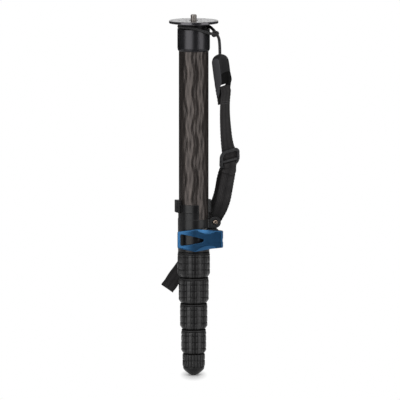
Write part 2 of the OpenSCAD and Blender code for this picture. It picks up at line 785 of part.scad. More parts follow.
// Metal nut of twist lock n, closing on the collet at its lower end
module twist_nut(n) {
    z_low = twist_end(n);
    lip_r = od(n + 1) / 2 + run_gap;
    r_out = nut_r(n);
    r_in = nut_bore_r(n);
    seat_r = od(n + 1) / 2 + slide_gap + collet_nose + run_gap;
    color([0.2, 0.2, 0.21]) rotate_extrude() polygon([
        [r_in, twist_top(n)], [r_out, twist_top(n)], [r_out, z_low + twist_taper], [r_out - waist, z_low],
        [lip_r, z_low], [lip_r, z_low + lip_h - run_gap], [seat_r, z_low + lip_h],
        [r_in, (tube_end(n) + z_low + lip_h) / 2]
    ]);
}

// Star outline of upright ribs on a rubber sleeve of radius r, rooted in its core
module ribs(r) {
    count = round(2 * PI * r / flute_pitch);
    gap = 360 * flute_w / (2 * PI * r);
    root = r - grip_cut - rib_root;
    polygon([for (i = [0 : count - 1]) let (a = 360 * i / count, b = 360 * (i + 1) / count - gap) each [
        from_front(root, a), from_front(r, a), from_front(r, (a + b) / 2), from_front(r, b),
        from_front(root, b)]]);
}

// Rubber sleeve with upright ribs in bands, parted by level grooves
module ribbed_sleeve(r, r_in, z_low, z_high, bands) {
    pitch = (z_high - z_low + band_gap) / bands;
    pipe(r - grip_cut, r_in, z_low, z_high);
    for (i = [0 : bands - 1]) {
        z = z_low + i * pitch;
        difference() {
            translate([0, 0, z]) linear_extrude(pitch - band_gap) ribs(r);
            translate([0, 0, z - over]) cylinder(r = r_in, h = pitch + over);
        }
    }
}

// Rubber grip of twist lock n, drawn in over the nut's lower slope
module twist_grip(n) {
    r = grip_r(n);
    r_in = nut_r(n) + glue_gap;
    z_slope = twist_end(n) + twist_taper;
    z_low = twist_end(n) + hem;
    low_r = r_in - waist * (1 - hem / twist_taper);
    color([0.27, 0.27, 0.28]) union() {
        ribbed_sleeve(r, r_in, z_slope, twist_top(n), band_count);
        rotate_extrude() polygon([
            [r_in, z_slope], [r - grip_cut / 2, z_slope], [low_r + grip_t / 2, z_low], [low_r, z_low]
        ]);
    }
}

module foot_plug() {
    r = bore(last_tube) / 2 - glue_gap;
    z_top = tube_end(last_tube);
    color([0.35, 0.35, 0.36]) difference() {
        union() {
            translate([0, 0, z_top]) cylinder(r = r, h = plug_l);
            translate([0, 0, z_foot_tip + glue_gap])
                cylinder(d = od(last_tube), h = z_top - glue_gap - z_foot_tip - glue_gap);
            translate([0, 0, z_top - over]) cylinder(r = r, h = 2 * over);
        }
        translate([0, 0, z_foot_tip])
            cylinder(r = foot_stud_d / 2 + glue_gap, h = foot_ring_h - foot_flange_h);
    }
}

module foot_stud() {
    depth = foot_tip_h / 2;
    color([0.6, 0.6, 0.62]) translate([0, 0, z_foot_tip - depth])
        cylinder(d = foot_stud_d, h = depth + foot_ring_h - foot_flange_h - over);
}

module foot_collar() {
    foot_bands = 2;
    color([0.22, 0.22, 0.23])
        ribbed_sleeve(foot_d / 2, od(last_tube) / 2 + glue_gap, z_foot_tip + glue_gap, z_foot, foot_bands);
}

module foot_tip() {
    r = foot_d / 2 - grip_cut;
    depth = foot_tip_h / 2;
    straight = foot_tip_h / 4;
    draw = foot_tip_h / 5;
    edge = 0.6;
    edge_out = 1;
    color([0.22, 0.22, 0.23]) difference() {
        rotate_extrude() polygon([
            [0, z_foot_tip], [r, z_foot_tip], [r, z_foot_tip - straight], [r - draw, z_foot_tip - depth],
            [foot_flat_d / 2 + edge_out, z_floor + edge], [foot_flat_d / 2, z_floor], [0, z_floor]
        ]);
        translate([0, 0, z_foot_tip - depth - glue_gap])
            cylinder(r = foot_stud_d / 2 + glue_gap, h = depth + over);
    }
}

camera_plate();
camera_stud();
stud_set_screw();
head_collar();
strap_clip();
lock_body();
clamp_liner();
tension_bolt();
barrel_pin();
cam_pad();
adjust_nut();
strap_screw();
strap_washer();
strap_cord();
cord_knot();
strap_tab();
webbing_upper();
webbing_tail();
webbing_lower();
strap_buckle();
flip_lever();
for (n = [1 : last_tube]) {
    carbon_tube(n);
}
for (n = [2 : last_tube]) {
    guide_bush(n);
}
for (n = [first_twist : last_twist]) {
    ferrule(n);
    collet(n);
    twist_nut(n);
    twist_grip(n);
}
foot_plug();
foot_stud();
foot_collar();
foot_tip();
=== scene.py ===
# %% [markdown]
# # A folded carbon monopod
# The object is a camera support of six carbon tubes that slide into each other. It stands folded on its rubber foot,
# with a camera plate on top, a blue flip lever, four rubber twist collars and a wrist strap at its right side.
# The hard parts come from a CAD frame that is loaded first. This lesson dresses them: finishes for the parts whose
# shape is right, and new meshes for everything that is soft, threaded, rounded or sculpted.

# %% Load the frame
import json
import math

import bmesh
import bpy
from mathutils import Matrix, Vector

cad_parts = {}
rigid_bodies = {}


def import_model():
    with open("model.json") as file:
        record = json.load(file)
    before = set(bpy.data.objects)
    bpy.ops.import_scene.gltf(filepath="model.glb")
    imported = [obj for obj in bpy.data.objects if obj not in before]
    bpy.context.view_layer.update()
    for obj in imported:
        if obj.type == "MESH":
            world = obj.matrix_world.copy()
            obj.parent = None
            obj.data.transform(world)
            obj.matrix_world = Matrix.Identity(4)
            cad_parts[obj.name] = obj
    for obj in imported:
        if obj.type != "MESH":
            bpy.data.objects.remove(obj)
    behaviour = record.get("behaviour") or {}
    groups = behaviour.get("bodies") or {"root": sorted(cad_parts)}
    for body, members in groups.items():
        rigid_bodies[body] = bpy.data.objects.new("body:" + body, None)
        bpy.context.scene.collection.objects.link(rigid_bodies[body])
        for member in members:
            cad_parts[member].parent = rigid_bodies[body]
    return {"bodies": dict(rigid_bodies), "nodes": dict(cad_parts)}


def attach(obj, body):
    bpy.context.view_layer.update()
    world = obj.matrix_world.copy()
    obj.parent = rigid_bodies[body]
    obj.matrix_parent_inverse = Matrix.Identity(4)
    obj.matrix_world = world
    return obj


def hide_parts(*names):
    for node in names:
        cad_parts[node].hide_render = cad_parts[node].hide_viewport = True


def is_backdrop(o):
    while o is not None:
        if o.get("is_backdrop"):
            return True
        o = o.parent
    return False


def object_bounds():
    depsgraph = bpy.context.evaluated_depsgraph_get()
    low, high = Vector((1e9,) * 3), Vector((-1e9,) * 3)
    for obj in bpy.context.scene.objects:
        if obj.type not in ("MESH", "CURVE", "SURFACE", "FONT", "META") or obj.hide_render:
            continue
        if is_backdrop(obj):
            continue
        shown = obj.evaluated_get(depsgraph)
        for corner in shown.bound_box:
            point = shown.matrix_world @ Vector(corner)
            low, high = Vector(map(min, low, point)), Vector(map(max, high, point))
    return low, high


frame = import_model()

MM = 0.001
nodes = frame["nodes"]
cad_low, cad_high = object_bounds()

# %% [markdown]
# ## The camera
# The picture was taken from far away with a long lens, a little above the middle of the object, so upright edges stay
# parallel and the round plate shows as a thin ellipse. A camera 6 m away does the same. Its lens is worked out from
# the width that the square frame spans at the object, which keeps the scale readable: one pixel is 1.08 mm.

# %% Camera
def put(name, data):
    """A new object of the scene."""
    made = bpy.data.objects.new(name, data)
    bpy.context.collection.objects.link(made)
    return made


VIEW_TILT = math.radians(7.2)
FIELD = 431.3 * MM
REACH = 6.0
aim = Vector((6.8, 0, -194.5)) * MM
towards = Vector((0, -math.cos(VIEW_TILT), math.sin(VIEW_TILT)))
camera = put("camera", bpy.data.cameras.new("camera"))
camera.data.sensor_width = 36
camera.data.lens = camera.data.sensor_width * REACH / FIELD
camera.data.clip_end = 60
camera.location = aim + towards * REACH
camera.rotation_euler = towards.to_track_quat("Z", "Y").to_euler()
bpy.context.scene.camera = camera
bpy.context.scene.view_settings.view_transform = "Standard"
print("camera: lens", round(camera.data.lens), "mm at", REACH, "m")

# %% [markdown]
# ## Node finishes
# Every finish in this lesson is a Principled shader with a few texture nodes in front of it. Wiring nodes one by one
# hides what a finish is made of, so two small classes do the wiring. The first works on any node tree: it adds a node,
# links whatever is a socket and writes whatever is a number. The second is a material. Object coordinates are used
# nearly everywhere, because all pieces share one frame in metres, and a grain in metres has the right size on each.

# %% Wiring helper
class Wiring:
    """A node tree in the making. Sockets are linked, plain values are written on the socket itself."""

    def __init__(self, tree):
        self.tree = tree

    def set(self, node, socket, value):
        target = node.inputs[socket]
        if isinstance(value, bpy.types.NodeSocket):
            self.tree.links.new(value, target)
        else:
            target.default_value = value

    def node(self, kind, inputs=None, **settings):
        made = self.tree.nodes.new(kind)
        for key, value in settings.items():
            setattr(made, key, value)
        for socket, value in (inputs or {}).items():
            self.set(made, socket, value)
        return made

    def sum(self, kind, a, b=0.0):
        return self.node("ShaderNodeMath", {0: a, 1: b}, operation=kind).outputs[0]

    def plus(self, a, b):
        return self.sum("ADD", a, b)

    def times(self, a, b):
        return self.sum("MULTIPLY", a, b)

    def background_rays(self):
        """1 for rays that show the white background: from the camera, off gloss and through glass."""
        ray = self.node("ShaderNodeLightPath").outputs
        bounced = self.sum("MAXIMUM", ray["Is Glossy Ray"], ray["Is Transmission Ray"])
        return self.sum("MAXIMUM", ray["Is Camera Ray"], bounced)

    def mixed(self, share, first, second, output):
        """Sends a mix of two shaders to the tree's output node."""
        both = self.node("ShaderNodeMixShader", {0: share, 1: first.outputs[0], 2: second.outputs[0]})
        self.set(self.tree.nodes[output], "Surface", both.outputs[0])


print("wiring helper ready")

# %% Finish helper
class Finish(Wiring):
    """A material in the making, with its shader and its place in the shared frame."""

    def __init__(self, name, colour, rough, metal=0.0, gloss=0.5, sheen=(1, 1, 1)):
        self.mat = bpy.data.materials.new(name)
        self.mat.use_nodes = True
        self.mat.diffuse_color = (*colour, 1)
        super().__init__(self.mat.node_tree)
        self.shader = self.tree.nodes["Principled BSDF"]
        for socket, value in (("Base Color", (*colour, 1)), ("Roughness", rough), ("Metallic", metal),
                              ("Specular IOR Level", gloss), ("Specular Tint", (*sheen, 1))):
            self.set(self.shader, socket, value)
        self.place = self.node("ShaderNodeTexCoord").outputs["Object"]

    def grain(self, size, detail=3.0, stretch=(1, 1, 1), place=None):
        """Noise with features of about this size in metres, drawn out along the axes."""
        at = self.node("ShaderNodeMapping", {"Vector": place or self.place, "Scale": stretch}).outputs[0]
        return self.node("ShaderNodeTexNoise", {"Vector": at, "Scale": 1 / size, "Detail": detail}).outputs["Fac"]

    def spread(self, fac, low, high, start=0.0, end=1.0):
        """The share fac between start and end, turned into a number between low and high."""
        made = self.node("ShaderNodeMapRange", {"Value": fac, "From Min": start, "From Max": end,
                                                "To Min": low, "To Max": high})
        return made.outputs[0]

    def tint(self, fac, dark, light):
        """A colour between dark and light; either may be a socket."""
        made = self.node("ShaderNodeMix", {"Factor": fac}, data_type="RGBA")
        for socket, value in ((6, dark), (7, light)):
            self.set(made, socket, value if isinstance(value, bpy.types.NodeSocket) else (*value, 1))
        return made.outputs[2]

    def edges(self, radius):
        """The rounded normal, and 1 on sharp edges within this radius, 0 on flats."""
        soft = self.node("ShaderNodeBevel", {"Radius": radius}, samples=6).outputs[0]
        hard = self.node("ShaderNodeNewGeometry").outputs["Normal"]
        level = self.node("ShaderNodeVectorMath", {0: soft, 1: hard}, operation="DOT_PRODUCT").outputs["Value"]
        return soft, self.spread(level, 1.0, 0.0, 0.82, 0.99)

    def patchy(self, patch, dark, light, radius, share):
        """Colours the surface between dark and light by its patches, and a share lighter on its edges: a painted edge
        highlight together with rubbed wear.
        """
        soft, rim = self.edges(radius)
        self.colour(self.tint(self.plus(patch, self.times(rim, share)), dark, light))
        return soft, rim

    def relief(self, height, depth, strength=1.0, normal=None):
        made = self.node("ShaderNodeBump", {"Height": height, "Distance": depth, "Strength": strength})
        if normal is not None:
            self.set(made, "Normal", normal)
        self.set(self.shader, "Normal", made.outputs[0])

    def colour(self, socket):
        self.set(self.shader, "Base Color", socket)

    def rough(self, socket):
        self.set(self.shader, "Roughness", socket)


print("finish helper ready")

# %% [markdown]
# ## Floor, sky and lamps
# A product picture on white is taken on a pale table that runs back under a white backdrop, in a room that is dark
# otherwise: the backdrop gives the white edge-to-edge, the dark room keeps black parts black. A table lit to pure
# white would throw too much light back, so the camera sees it as plain white, and only close to the foot does it take
# the shadow. It hangs on the foot's body, so that it stays under the foot when the tubes are drawn out. The sky is
# white for the camera and for reflections, and a weak fill for everything else. The room is a dark curtain round the
# front, and a low black card stands behind the object; only reflections see them. The card is what photographers use
# to draw dark edges on shiny round things. Two tall soft boxes stand at the left and the right: they draw the two
# upright glints on every round part, and a small box above lights what leans back.

# %% Floor
TABLE_HALF, TABLE_FRONT = 12, -0.17
SHADOW_START, SHADOW_END, SHADOW_SQUEEZE = 4.7 * MM, 15.2 * MM, 0.35
floor_mesh = bpy.data.meshes.new("studio_floor")
floor_mesh.from_pydata([(-TABLE_HALF, TABLE_FRONT, 0), (TABLE_HALF, TABLE_FRONT, 0), (TABLE_HALF, TABLE_HALF, 0),
                        (-TABLE_HALF, TABLE_HALF, 0)], [], [(0, 1, 2, 3)])
floor = put("studio_floor", floor_mesh)
floor.location.z = cad_low.z
floor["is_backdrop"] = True
floor.parent = frame["bodies"]["section_6"]
floor.matrix_parent_inverse = floor.parent.matrix_world.inverted()
paper = Finish("studio_paper", (0.86, 0.86, 0.86), 0.9, gloss=0.1)
paper.rough(paper.spread(paper.grain(0.004), 0.85, 0.95))
glow = paper.node("ShaderNodeEmission", {"Color": (1, 1, 1, 1), "Strength": 1.0})
oblong = paper.node("ShaderNodeVectorMath", {0: paper.place, 1: (1, SHADOW_SQUEEZE, 0)}, operation="MULTIPLY")
near = paper.node("ShaderNodeVectorMath", {0: oblong.outputs[0]}, operation="LENGTH").outputs["Value"]
white_share = paper.times(paper.background_rays(), paper.spread(near, 0.1, 1.0, SHADOW_START, SHADOW_END))
paper.mixed(white_share, paper.shader, glow, "Material Output")
floor_mesh.materials.append(paper.mat)
print("floor at", round(floor.location.z, 4), "m")

# %% Sky
sky = bpy.data.worlds.new("studio_sky")
bpy.context.scene.world = sky
sky.use_nodes = True
air = Wiring(sky.node_tree)
fill = air.tree.nodes["Background"]
air.set(fill, "Strength", 0.3)
air.set(fill, "Color", (1, 1, 1, 1))
air.mixed(air.background_rays(), fill, air.node("ShaderNodeBackground", {"Color": (1, 1, 1, 1)}), "World Output")
print("sky: fill", round(fill.inputs["Strength"].default_value, 2))

# %% Curtain and card
PANELS = 48


def around(angle, away, z):
    """The place at an angle from the front towards +X, a distance from the axis and a height."""
    return Vector((away * math.sin(angle), -away * math.cos(angle), z))


def drape(name, reach, first, last, low, high):
    """A dark screen round the object, from one compass angle to another, that only reflections see."""
    posts = [math.radians(first + (last - first) * k / PANELS) for k in range(PANELS + 1)]
    mesh = bpy.data.meshes.new(name)
    mesh.from_pydata([around(a, reach, z) for z in (low, high) for a in posts], [],
                     [(k, k + 1, k + PANELS + 2, k + PANELS + 1) for k in range(PANELS)])
    screen = put(name, mesh)
    screen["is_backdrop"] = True
    mesh.materials.append(black_cloth.mat)
    screen.visible_camera = screen.visible_diffuse = False
    screen.visible_transmission = screen.visible_shadow = False


black_cloth = Finish("studio_cloth", (0.02, 0.02, 0.02), 0.9, gloss=0.0)
black_cloth.rough(black_cloth.spread(black_cloth.grain(0.02), 0.85, 0.95))
drape("studio_curtain", 3.5, -82, 82, -3, 3.2)
drape("studio_card", 0.8, 80, 280, -0.345, 0.03)
print("curtain round the front, low card behind")

# %% Soft boxes
def soft_box(name, turn, rise, wide, tall, watts, reach=1.6):
    """An upright rectangular lamp, turned from the front towards +X, aimed at the middle of the object."""
    lamp = put(name, bpy.data.lights.new(name, "AREA"))
    lamp.data.shape = "RECTANGLE"
    lamp.data.size = wide
    lamp.data.size_y = tall
    lamp.data.energy = watts
    centre = Vector((0, 0, -190 * MM))
    lamp.location = centre + around(math.radians(turn), reach, rise)
    lamp.rotation_euler = (lamp.location - centre).to_track_quat("Z", "Y").to_euler()


soft_box("left_box", -35, 0.25, 1.6, 1.5, 19)
soft_box("right_box", 54, 0.25, 1.1, 1.5, 11)
soft_box("top_box", 22, 1.35, 1.2, 0.8, 8, reach=1.1)

# %% [markdown]
# ## The wrist cord
# A thin braided cord leaves the strap's moulded tab, climbs to a knot, passes in front of the collar into the groove
# under the plate, runs round the neck and comes back to the knot. It could be a bevelled Bezier curve, but handles
# that are set by hand drift away from the CAD route. Here a smooth line is threaded through points of that route, and
# the cord's length is measured on the line rather than guessed.

# %% Smooth lines
def threaded(points, steps=6):
    """A smooth line through all the points (Catmull-Rom), as vectors of any size."""
    points = [Vector(p) for p in points]
    line = []
    for i in range(len(points) - 1):
        before = points[max(i - 1, 0)]
        a, b = points[i], points[i + 1]
        after = points[min(i + 2, len(points) - 1)]
        for k in range(steps):
            t = k / steps
            line.append(0.5 * (2 * a + (b - before) * t + (2 * before - 5 * a + 4 * b - after) * t ** 2
                               + (3 * a - before - 3 * b + after) * t ** 3))
    return line + [points[-1]]


def run_of(line):
    """The length of a line of points."""
    return sum((b - a).length for a, b in zip(line, line[1:]))


def heading(line, i, looped=False):
    """The direction of a line at its point i."""
    if looped:
        return (line[(i + 1) % len(line)] - line[i - 1]).normalized()
    return (line[min(i + 1, len(line) - 1)] - line[max(i - 1, 0)]).normalized()


print("smooth lines ready")

# %% Cord finish
braid = Finish("cord_braid", (0.03, 0.029, 0.03), 0.75, gloss=0.3)
strand = braid.node("ShaderNodeTexCoord").outputs["UV"]
cell = braid.node("ShaderNodeMapping", {"Vector": strand, "Scale": (110, 6, 1)}).outputs[0]
weave = braid.node("ShaderNodeTexBrick", {"Vector": cell, "Scale": 1.0, "Mortar Size": 0.08, "Color1": (1, 1, 1, 1),
                                          "Color2": (0.7, 0.7, 0.7, 1), "Mortar": (0, 0, 0, 1)})
braid.colour(braid.tint(weave.outputs["Color"], (0.018, 0.018, 0.019), (0.07, 0.068, 0.071)))
braid.rough(braid.spread(braid.grain(0.0006), 0.65, 0.85))
braid.relief(weave.outputs["Color"], 0.0003, 0.7)
print("braid:", len(braid.tree.nodes), "nodes")

# %% Cord
CORD_ROUTE = [
    (28.2, 0.5, -37.2), (28.1, 0.4, -31), (27.8, 0.2, -25), (27.0, -0.3, -19.5), (24.8, -1.6, -15.4),
    (21.4, -4.6, -14.4), (17.8, -9.4, -13.3), (12.0, -16.0, -11.0), (4.6, -19.4, -8.1), (-3.4, -17.4, -6.6),
    (-9.8, -12.6, -6.65), (-14.3, -7, -6.65), (-16, 0, -6.65), (-14.3, 7, -6.65), (-9.8, 12.6, -6.65),
    (-3.3, 15.7, -6.65), (4, 15.5, -6.65), (10.6, 12.8, -6.65), (16.6, 8.7, -7.4), (20.2, 5.2, -9.8),
    (22.5, 2.8, -12.0), (23.4, 1.6, -13.8),
]
CORD_D = 3.2 * MM


def cord_piece(name, line, closed=False):
    """Round cord along a line of points in metres."""
    shape = bpy.data.curves.new(name, "CURVE")
    shape.dimensions = "3D"
    shape.bevel_depth = CORD_D / 2
    shape.bevel_resolution = 4
    shape.use_fill_caps = True
    spline = shape.splines.new("POLY")
    spline.points.add(len(line) - 1)
    for point, place in zip(spline.points, line):
        point.co = (*place, 1)
    spline.use_cyclic_u = closed
    spline.use_smooth = True
    shape.materials.append(braid.mat)
    return put(name, shape)


cord_line = threaded([Vector(p) * MM for p in CORD_ROUTE])
wrist_cord = cord_piece("wrist_cord", cord_line)
print("cord:", round(run_of(cord_line), 4), "m long")

# %% [markdown]
# ### Its knot
# Both ends of the loop are tied together at the right of the neck. A ball would look like a bead, so the knot is the
# mathematician's trefoil: one closed line that passes over and under itself three times, squeezed until its turns
# touch. Drawn with the cord's own thickness it reads as an overhand knot from every side.

# %% Knot
KNOT_PLACE, KNOT_SCALE, KNOT_POINTS = Vector((23.0, 0.1, -14.4)) * MM, 0.92 * MM, 60
knot_turn = Matrix.Rotation(math.radians(35), 4, "Y") @ Matrix.Rotation(math.radians(70), 4, "X")
knot_line = []
for k in range(KNOT_POINTS):
    t = 2 * math.pi * k / KNOT_POINTS
    turn = Vector((math.sin(t) + 2 * math.sin(2 * t), math.cos(t) - 2 * math.cos(2 * t), -1.7 * math.sin(3 * t)))
    knot_line.append(KNOT_PLACE + knot_turn @ (turn * KNOT_SCALE))
cord_knot = cord_piece("cord_knot_tied", knot_line, closed=True)
for piece, node in ((wrist_cord, "strap_cord"), (cord_knot, "cord_knot")):
    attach(piece, "upper_section")
    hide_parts(node)
print("knot at", tuple(round(v, 4) for v in KNOT_PLACE))

# %% [markdown]
# ## Mesh helpers
# The rest of the strap and the lever are meshes. Four helpers carry most of the work: one turns lists of points into a
# piece, one bakes modifiers into the mesh so that nothing is left to be evaluated, one cuts a piece with another, and
# one sweeps a section along a line. Smaller ones lay out circles and boxes, and set a piece on its body of the frame.

# %% Pieces from points
def finish_mesh(piece, sharp=40):
    """Smooth shading with edges kept sharp above an angle in degrees."""
    piece.data.shade_smooth()
    piece.data.set_sharp_from_angle(angle=math.radians(sharp))
    return piece


def mesh_piece(name, verts, faces, finish, sharp=40):
    """A mesh piece from points in metres, with its normals made to point outwards."""
    mesh = bpy.data.meshes.new(name)
    mesh.from_pydata([tuple(v) for v in verts], [], faces)
    work = bmesh.new()
    work.from_mesh(mesh)
    bmesh.ops.recalc_face_normals(work, faces=work.faces)
    work.to_mesh(mesh)
    work.free()
    mesh.materials.append(finish.mat)
    return finish_mesh(put(name, mesh), sharp)


def bake(piece):
    """Turns the piece's modifiers into plain mesh."""
    seen_by = bpy.context.evaluated_depsgraph_get()
    baked = bpy.data.meshes.new_from_object(piece.evaluated_get(seen_by))
    piece.modifiers.clear()
    old = piece.data
    piece.data = baked
    bpy.data.meshes.remove(old)
    finish_mesh(piece)


def cut(piece, cutter):
    """Cuts the piece with another one, which is used up."""
    work = piece.modifiers.new("cut", "BOOLEAN")
    work.operation = "DIFFERENCE"
    work.solver = "EXACT"
    work.object = cutter
    bake(piece)
    bpy.data.objects.remove(cutter)


def round_edges(piece, radius, angle):
    work = piece.modifiers.new("round", "BEVEL")
    work.width = radius
    work.segments = 3
    work.limit_method = "ANGLE"
    work.angle_limit = math.radians(angle)
    work.use_clamp_overlap = True
    bake(piece)


print("piece helpers ready")

# %% Lofts and sweeps
def loft(rings, looped=False):
    """Points and faces that join rings of equal count; the rings are closed lines, and the two ends get caps."""
    count = len(rings[0])
    verts = [p for ring in rings for p in ring]
    faces = []
    for r in range(len(rings) if looped else len(rings) - 1):
        n = (r + 1) % len(rings)
        for i in range(count):
            j = (i + 1) % count
            faces.append((r * count + i, r * count + j, n * count + j, n * count + i))
    if not looped:
        faces.append(tuple(range(count - 1, -1, -1)))
        faces.append(tuple((len(rings) - 1) * count + i for i in range(count)))
    return verts, faces


def sweep(line, section, looped=False, side=Vector((0, 0, 1))):
    """Rings of a section (a, b) carried along a line; a lies square to side, b along it as far as it can."""
    rings = []
    for i, place in enumerate(line):
        ahead = heading(line, i, looped)
        a = ahead.cross(side).normalized()
        b = a.cross(ahead).normalized()
        rings.append([place + a * s + b * t for s, t in section])
    return loft(rings, looped=looped)


def add_skin(verts, faces, skin):
    """Adds another closed skin to lists of points and faces."""
    more, skins = skin
    faces += [tuple(i + len(verts) for i in f) for f in skins]
    verts += more


print("lofts and sweeps ready")

# %% Outlines and places
def circle(radius, count=48):
    turns = [2 * math.pi * i / count for i in range(count)]
    return [(radius * math.cos(a), radius * math.sin(a)) for a in turns]


def oval(wide, tall, count=16, power=2.0):
    """Points of an oval; a higher power squares it."""
    return [(wide / 2 * math.copysign(abs(c) ** (2 / power), c), tall / 2 * math.copysign(abs(s) ** (2 / power), s))
            for c, s in circle(1, count)]


def placed(part, points):
    """Points of a part's own axes, in mm, carried into the shared frame in metres."""
    return [part @ Vector(p) * MM for p in points]


def block(name, low, high, finish, part=Matrix()):
    """A box between two corners in millimetres, used to cut with."""
    side = [(low[1], low[2]), (high[1], low[2]), (high[1], high[2]), (low[1], high[2])]
    return mesh_piece(name, *loft([placed(part, [(x, y, z) for y, z in side]) for x in (low[0], high[0])]), finish)


def on_body(piece, body, slot, *stands_for):
    """Lets a piece ride on a body and stand for CAD nodes, which it hides; the slot is not used."""
    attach(piece, body)
    if stands_for:
        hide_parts(*stands_for)
    return piece


def turned(degrees):
    """A turn given as three angles about X, then Y, then Z."""
    x, y, z = (math.radians(v) for v in degrees)
    return Matrix.Rotation(z, 4, "Z") @ Matrix.Rotation(y, 4, "Y") @ Matrix.Rotation(x, 4, "X")


print("outlines and places ready")

# %% [markdown]
# ## Webbing
# The strap is black nylon webbing, 15.5 mm wide and 1.4 mm thick. One long tape is sewn round the bar of the moulded
# tab, runs down behind the buckle and hangs free behind the lock; a second tape is sewn round the buckle's lowest bar
# and screwed to the lock's lug. Cloth simulation would crumple such stiff tape, so each tape is a swept section that
# follows stations: a place, the turn of its width and a share of its full width. The section has rounded selvedges,
# and the weave is read from its own unrolled coordinates, across and along in metres.

# %% Webbing finish
WARP, WEFT, BAND = 1.1 * MM, 1.6 * MM, 5.2 * MM


def woven(name, dark, light, painted_shade_run=None):
    """Nylon webbing; painted_shade_run gives the stretch along the tape over which it is darkened by a painted shade.
    """
    cloth = Finish(name, light, 0.85, gloss=0.06)

    def humps(place):
        return cloth.sum("ABSOLUTE", cloth.sum("SINE", cloth.times(place, math.pi)))

    flat = cloth.node("ShaderNodeSeparateXYZ", {0: cloth.node("ShaderNodeTexCoord").outputs["UV"]})
    across, along = flat.outputs[0], flat.outputs[1]
    # Warp cords run along the tape; every second one is shifted by half a weft, which gives the twill look
    warp = cloth.times(across, 1 / WARP)
    odd = cloth.sum("MODULO", cloth.sum("FLOOR", cloth.plus(warp, 200.0)), 2.0)
    weft = cloth.plus(cloth.times(along, 1 / WEFT), cloth.times(odd, 0.5))
    height = cloth.times(cloth.sum("POWER", humps(warp), 0.6), cloth.sum("POWER", humps(weft), 0.5))
    fuzz = cloth.grain(0.0009, 4.0)
    patch = cloth.grain(0.012, 2.0)
    band = humps(cloth.times(across, 1 / BAND))
    tone = cloth.times(cloth.spread(height, 0.35, 1.0), cloth.spread(patch, 0.75, 1.15, 0.3, 0.7))
    tone = cloth.times(tone, cloth.spread(band, 0.6, 1.15))
    # Painted shade: the tone falls along the tape over this stretch
    if painted_shade_run:
        tone = cloth.times(tone, cloth.spread(along, 1.0, 0.12, *painted_shade_run))
    cloth.colour(cloth.tint(tone, dark, light))
    cloth.rough(cloth.spread(fuzz, 0.75, 0.95))
    cloth.relief(cloth.plus(height, cloth.times(fuzz, 0.25)), 0.00035, 0.8)
    for socket, value in (("Weight", 0.08), ("Roughness", 0.5), ("Tint", (0.8, 0.78, 0.78, 1))):
        cloth.set(cloth.shader, "Sheen " + socket, value)
    return cloth


webbing = woven("webbing_black", (0.008, 0.0077, 0.0078), (0.034, 0.0325, 0.033))
# The lower tape is darkened towards the lug by a painted shade that falls off along it
webbing_painted_shade = woven("webbing_painted_shade", (0.005, 0.005, 0.0052), (0.034, 0.0325, 0.033), (0.052, 0.08))
thread = Finish("strap_thread", (0.05, 0.05, 0.052), 0.6, gloss=0.3)
thread.rough(thread.spread(thread.grain(0.0004), 0.5, 0.75))
thread.relief(thread.grain(0.0003, stretch=(1, 1, 3)), 0.0001, 0.5)
print("cloths:", [cloth.mat.name for cloth in (webbing, webbing_painted_shade, thread)])

# %% Tape builder
WEB_W, WEB_T = 15.5, 1.4
RUFFLE, RUFFLE_STEP = 0.22, 3.6
# Shares of the half width at which the section has points, and its swelling towards the selvedge
ACROSS = [-0.985, -0.93, -0.8, -0.6, -0.4, -0.2, 0, 0.2, 0.4, 0.6, 0.8, 0.93, 0.985]
SELVEDGE = {0.985: 0.62, 0.93: 1.04, 0.8: 1.06}


def tape(name, stations, finish, steps=6):
    """A woven tape through stations (x, y, z, yaw, roll, width share) in mm and degrees, with its frames."""
    places = threaded([s[:3] for s in stations], steps)
    turns = threaded([s[3:] for s in stations], steps)
    frames, rings, run = [], [], 0.0
    for i, place in enumerate(places):
        ahead = heading(places, i)
        yaw, roll, share = math.radians(turns[i][0]), math.radians(turns[i][1]), turns[i][2]
        wide = Vector((math.cos(yaw) * math.cos(roll), math.sin(yaw) * math.cos(roll), math.sin(roll)))
        wide = (wide - ahead * wide.dot(ahead)).normalized()
        out = ahead.cross(wide).normalized()
        run += (place - places[i - 1]).length if i else 0.0
        frames.append((place, wide, out, ahead, run))
        half, ruffle = WEB_W * share / 2, RUFFLE * math.sin(run * 2 * math.pi / RUFFLE_STEP)
        left, right = half + ruffle, half - ruffle
        upper = [(a * (left if a < 0 else right), WEB_T / 2 * SELVEDGE.get(abs(a), 1.0)) for a in ACROSS]
        loop = [(-left, 0.0)] + upper + [(right, 0.0)] + [(a, -b) for a, b in reversed(upper)]
        rings.append([(place + wide * a + out * b) * MM for a, b in loop])
    piece = mesh_piece(name, *loft(rings), finish, 60)
    unrolled = piece.data.uv_layers.new(name="unrolled")
    for corner, link in enumerate(piece.data.loops):
        ring, k = divmod(link.vertex_index, len(loop))
        unrolled.data[corner].uv = (loop[k][0] * MM, frames[ring][4] * MM)
    return piece, frames, run * MM


STITCH, SEAM_SHARE = 1.7, 0.8


def stitch_rows(name, frames, rows):
    """Short raised stitches across a tape; rows are distances along it in mm."""
    verts, faces = [], []
    count = int(WEB_W * SEAM_SHARE / STITCH)
    for at in rows:
        place, wide, out, ahead, run = min(frames, key=lambda f: abs(f[4] - at))
        for k in range(count):
            middle = place + ahead * (at - run) + wide * ((k + 0.5) / count - 0.5) * WEB_W * SEAM_SHARE
            middle = middle + out * (WEB_T / 2 + 0.08)
            line = [middle + wide * t * STITCH * 0.36 + out * lift
                    for t, lift in ((-1, -0.25), (-0.6, 0.1), (0, 0.2), (0.6, 0.1), (1, -0.25))]
            add_skin(verts, faces, sweep(line, oval(0.5, 0.45, 8), side=out))
    return mesh_piece(name, [v * MM for v in verts], faces, thread, 60)


print("tape builder ready")
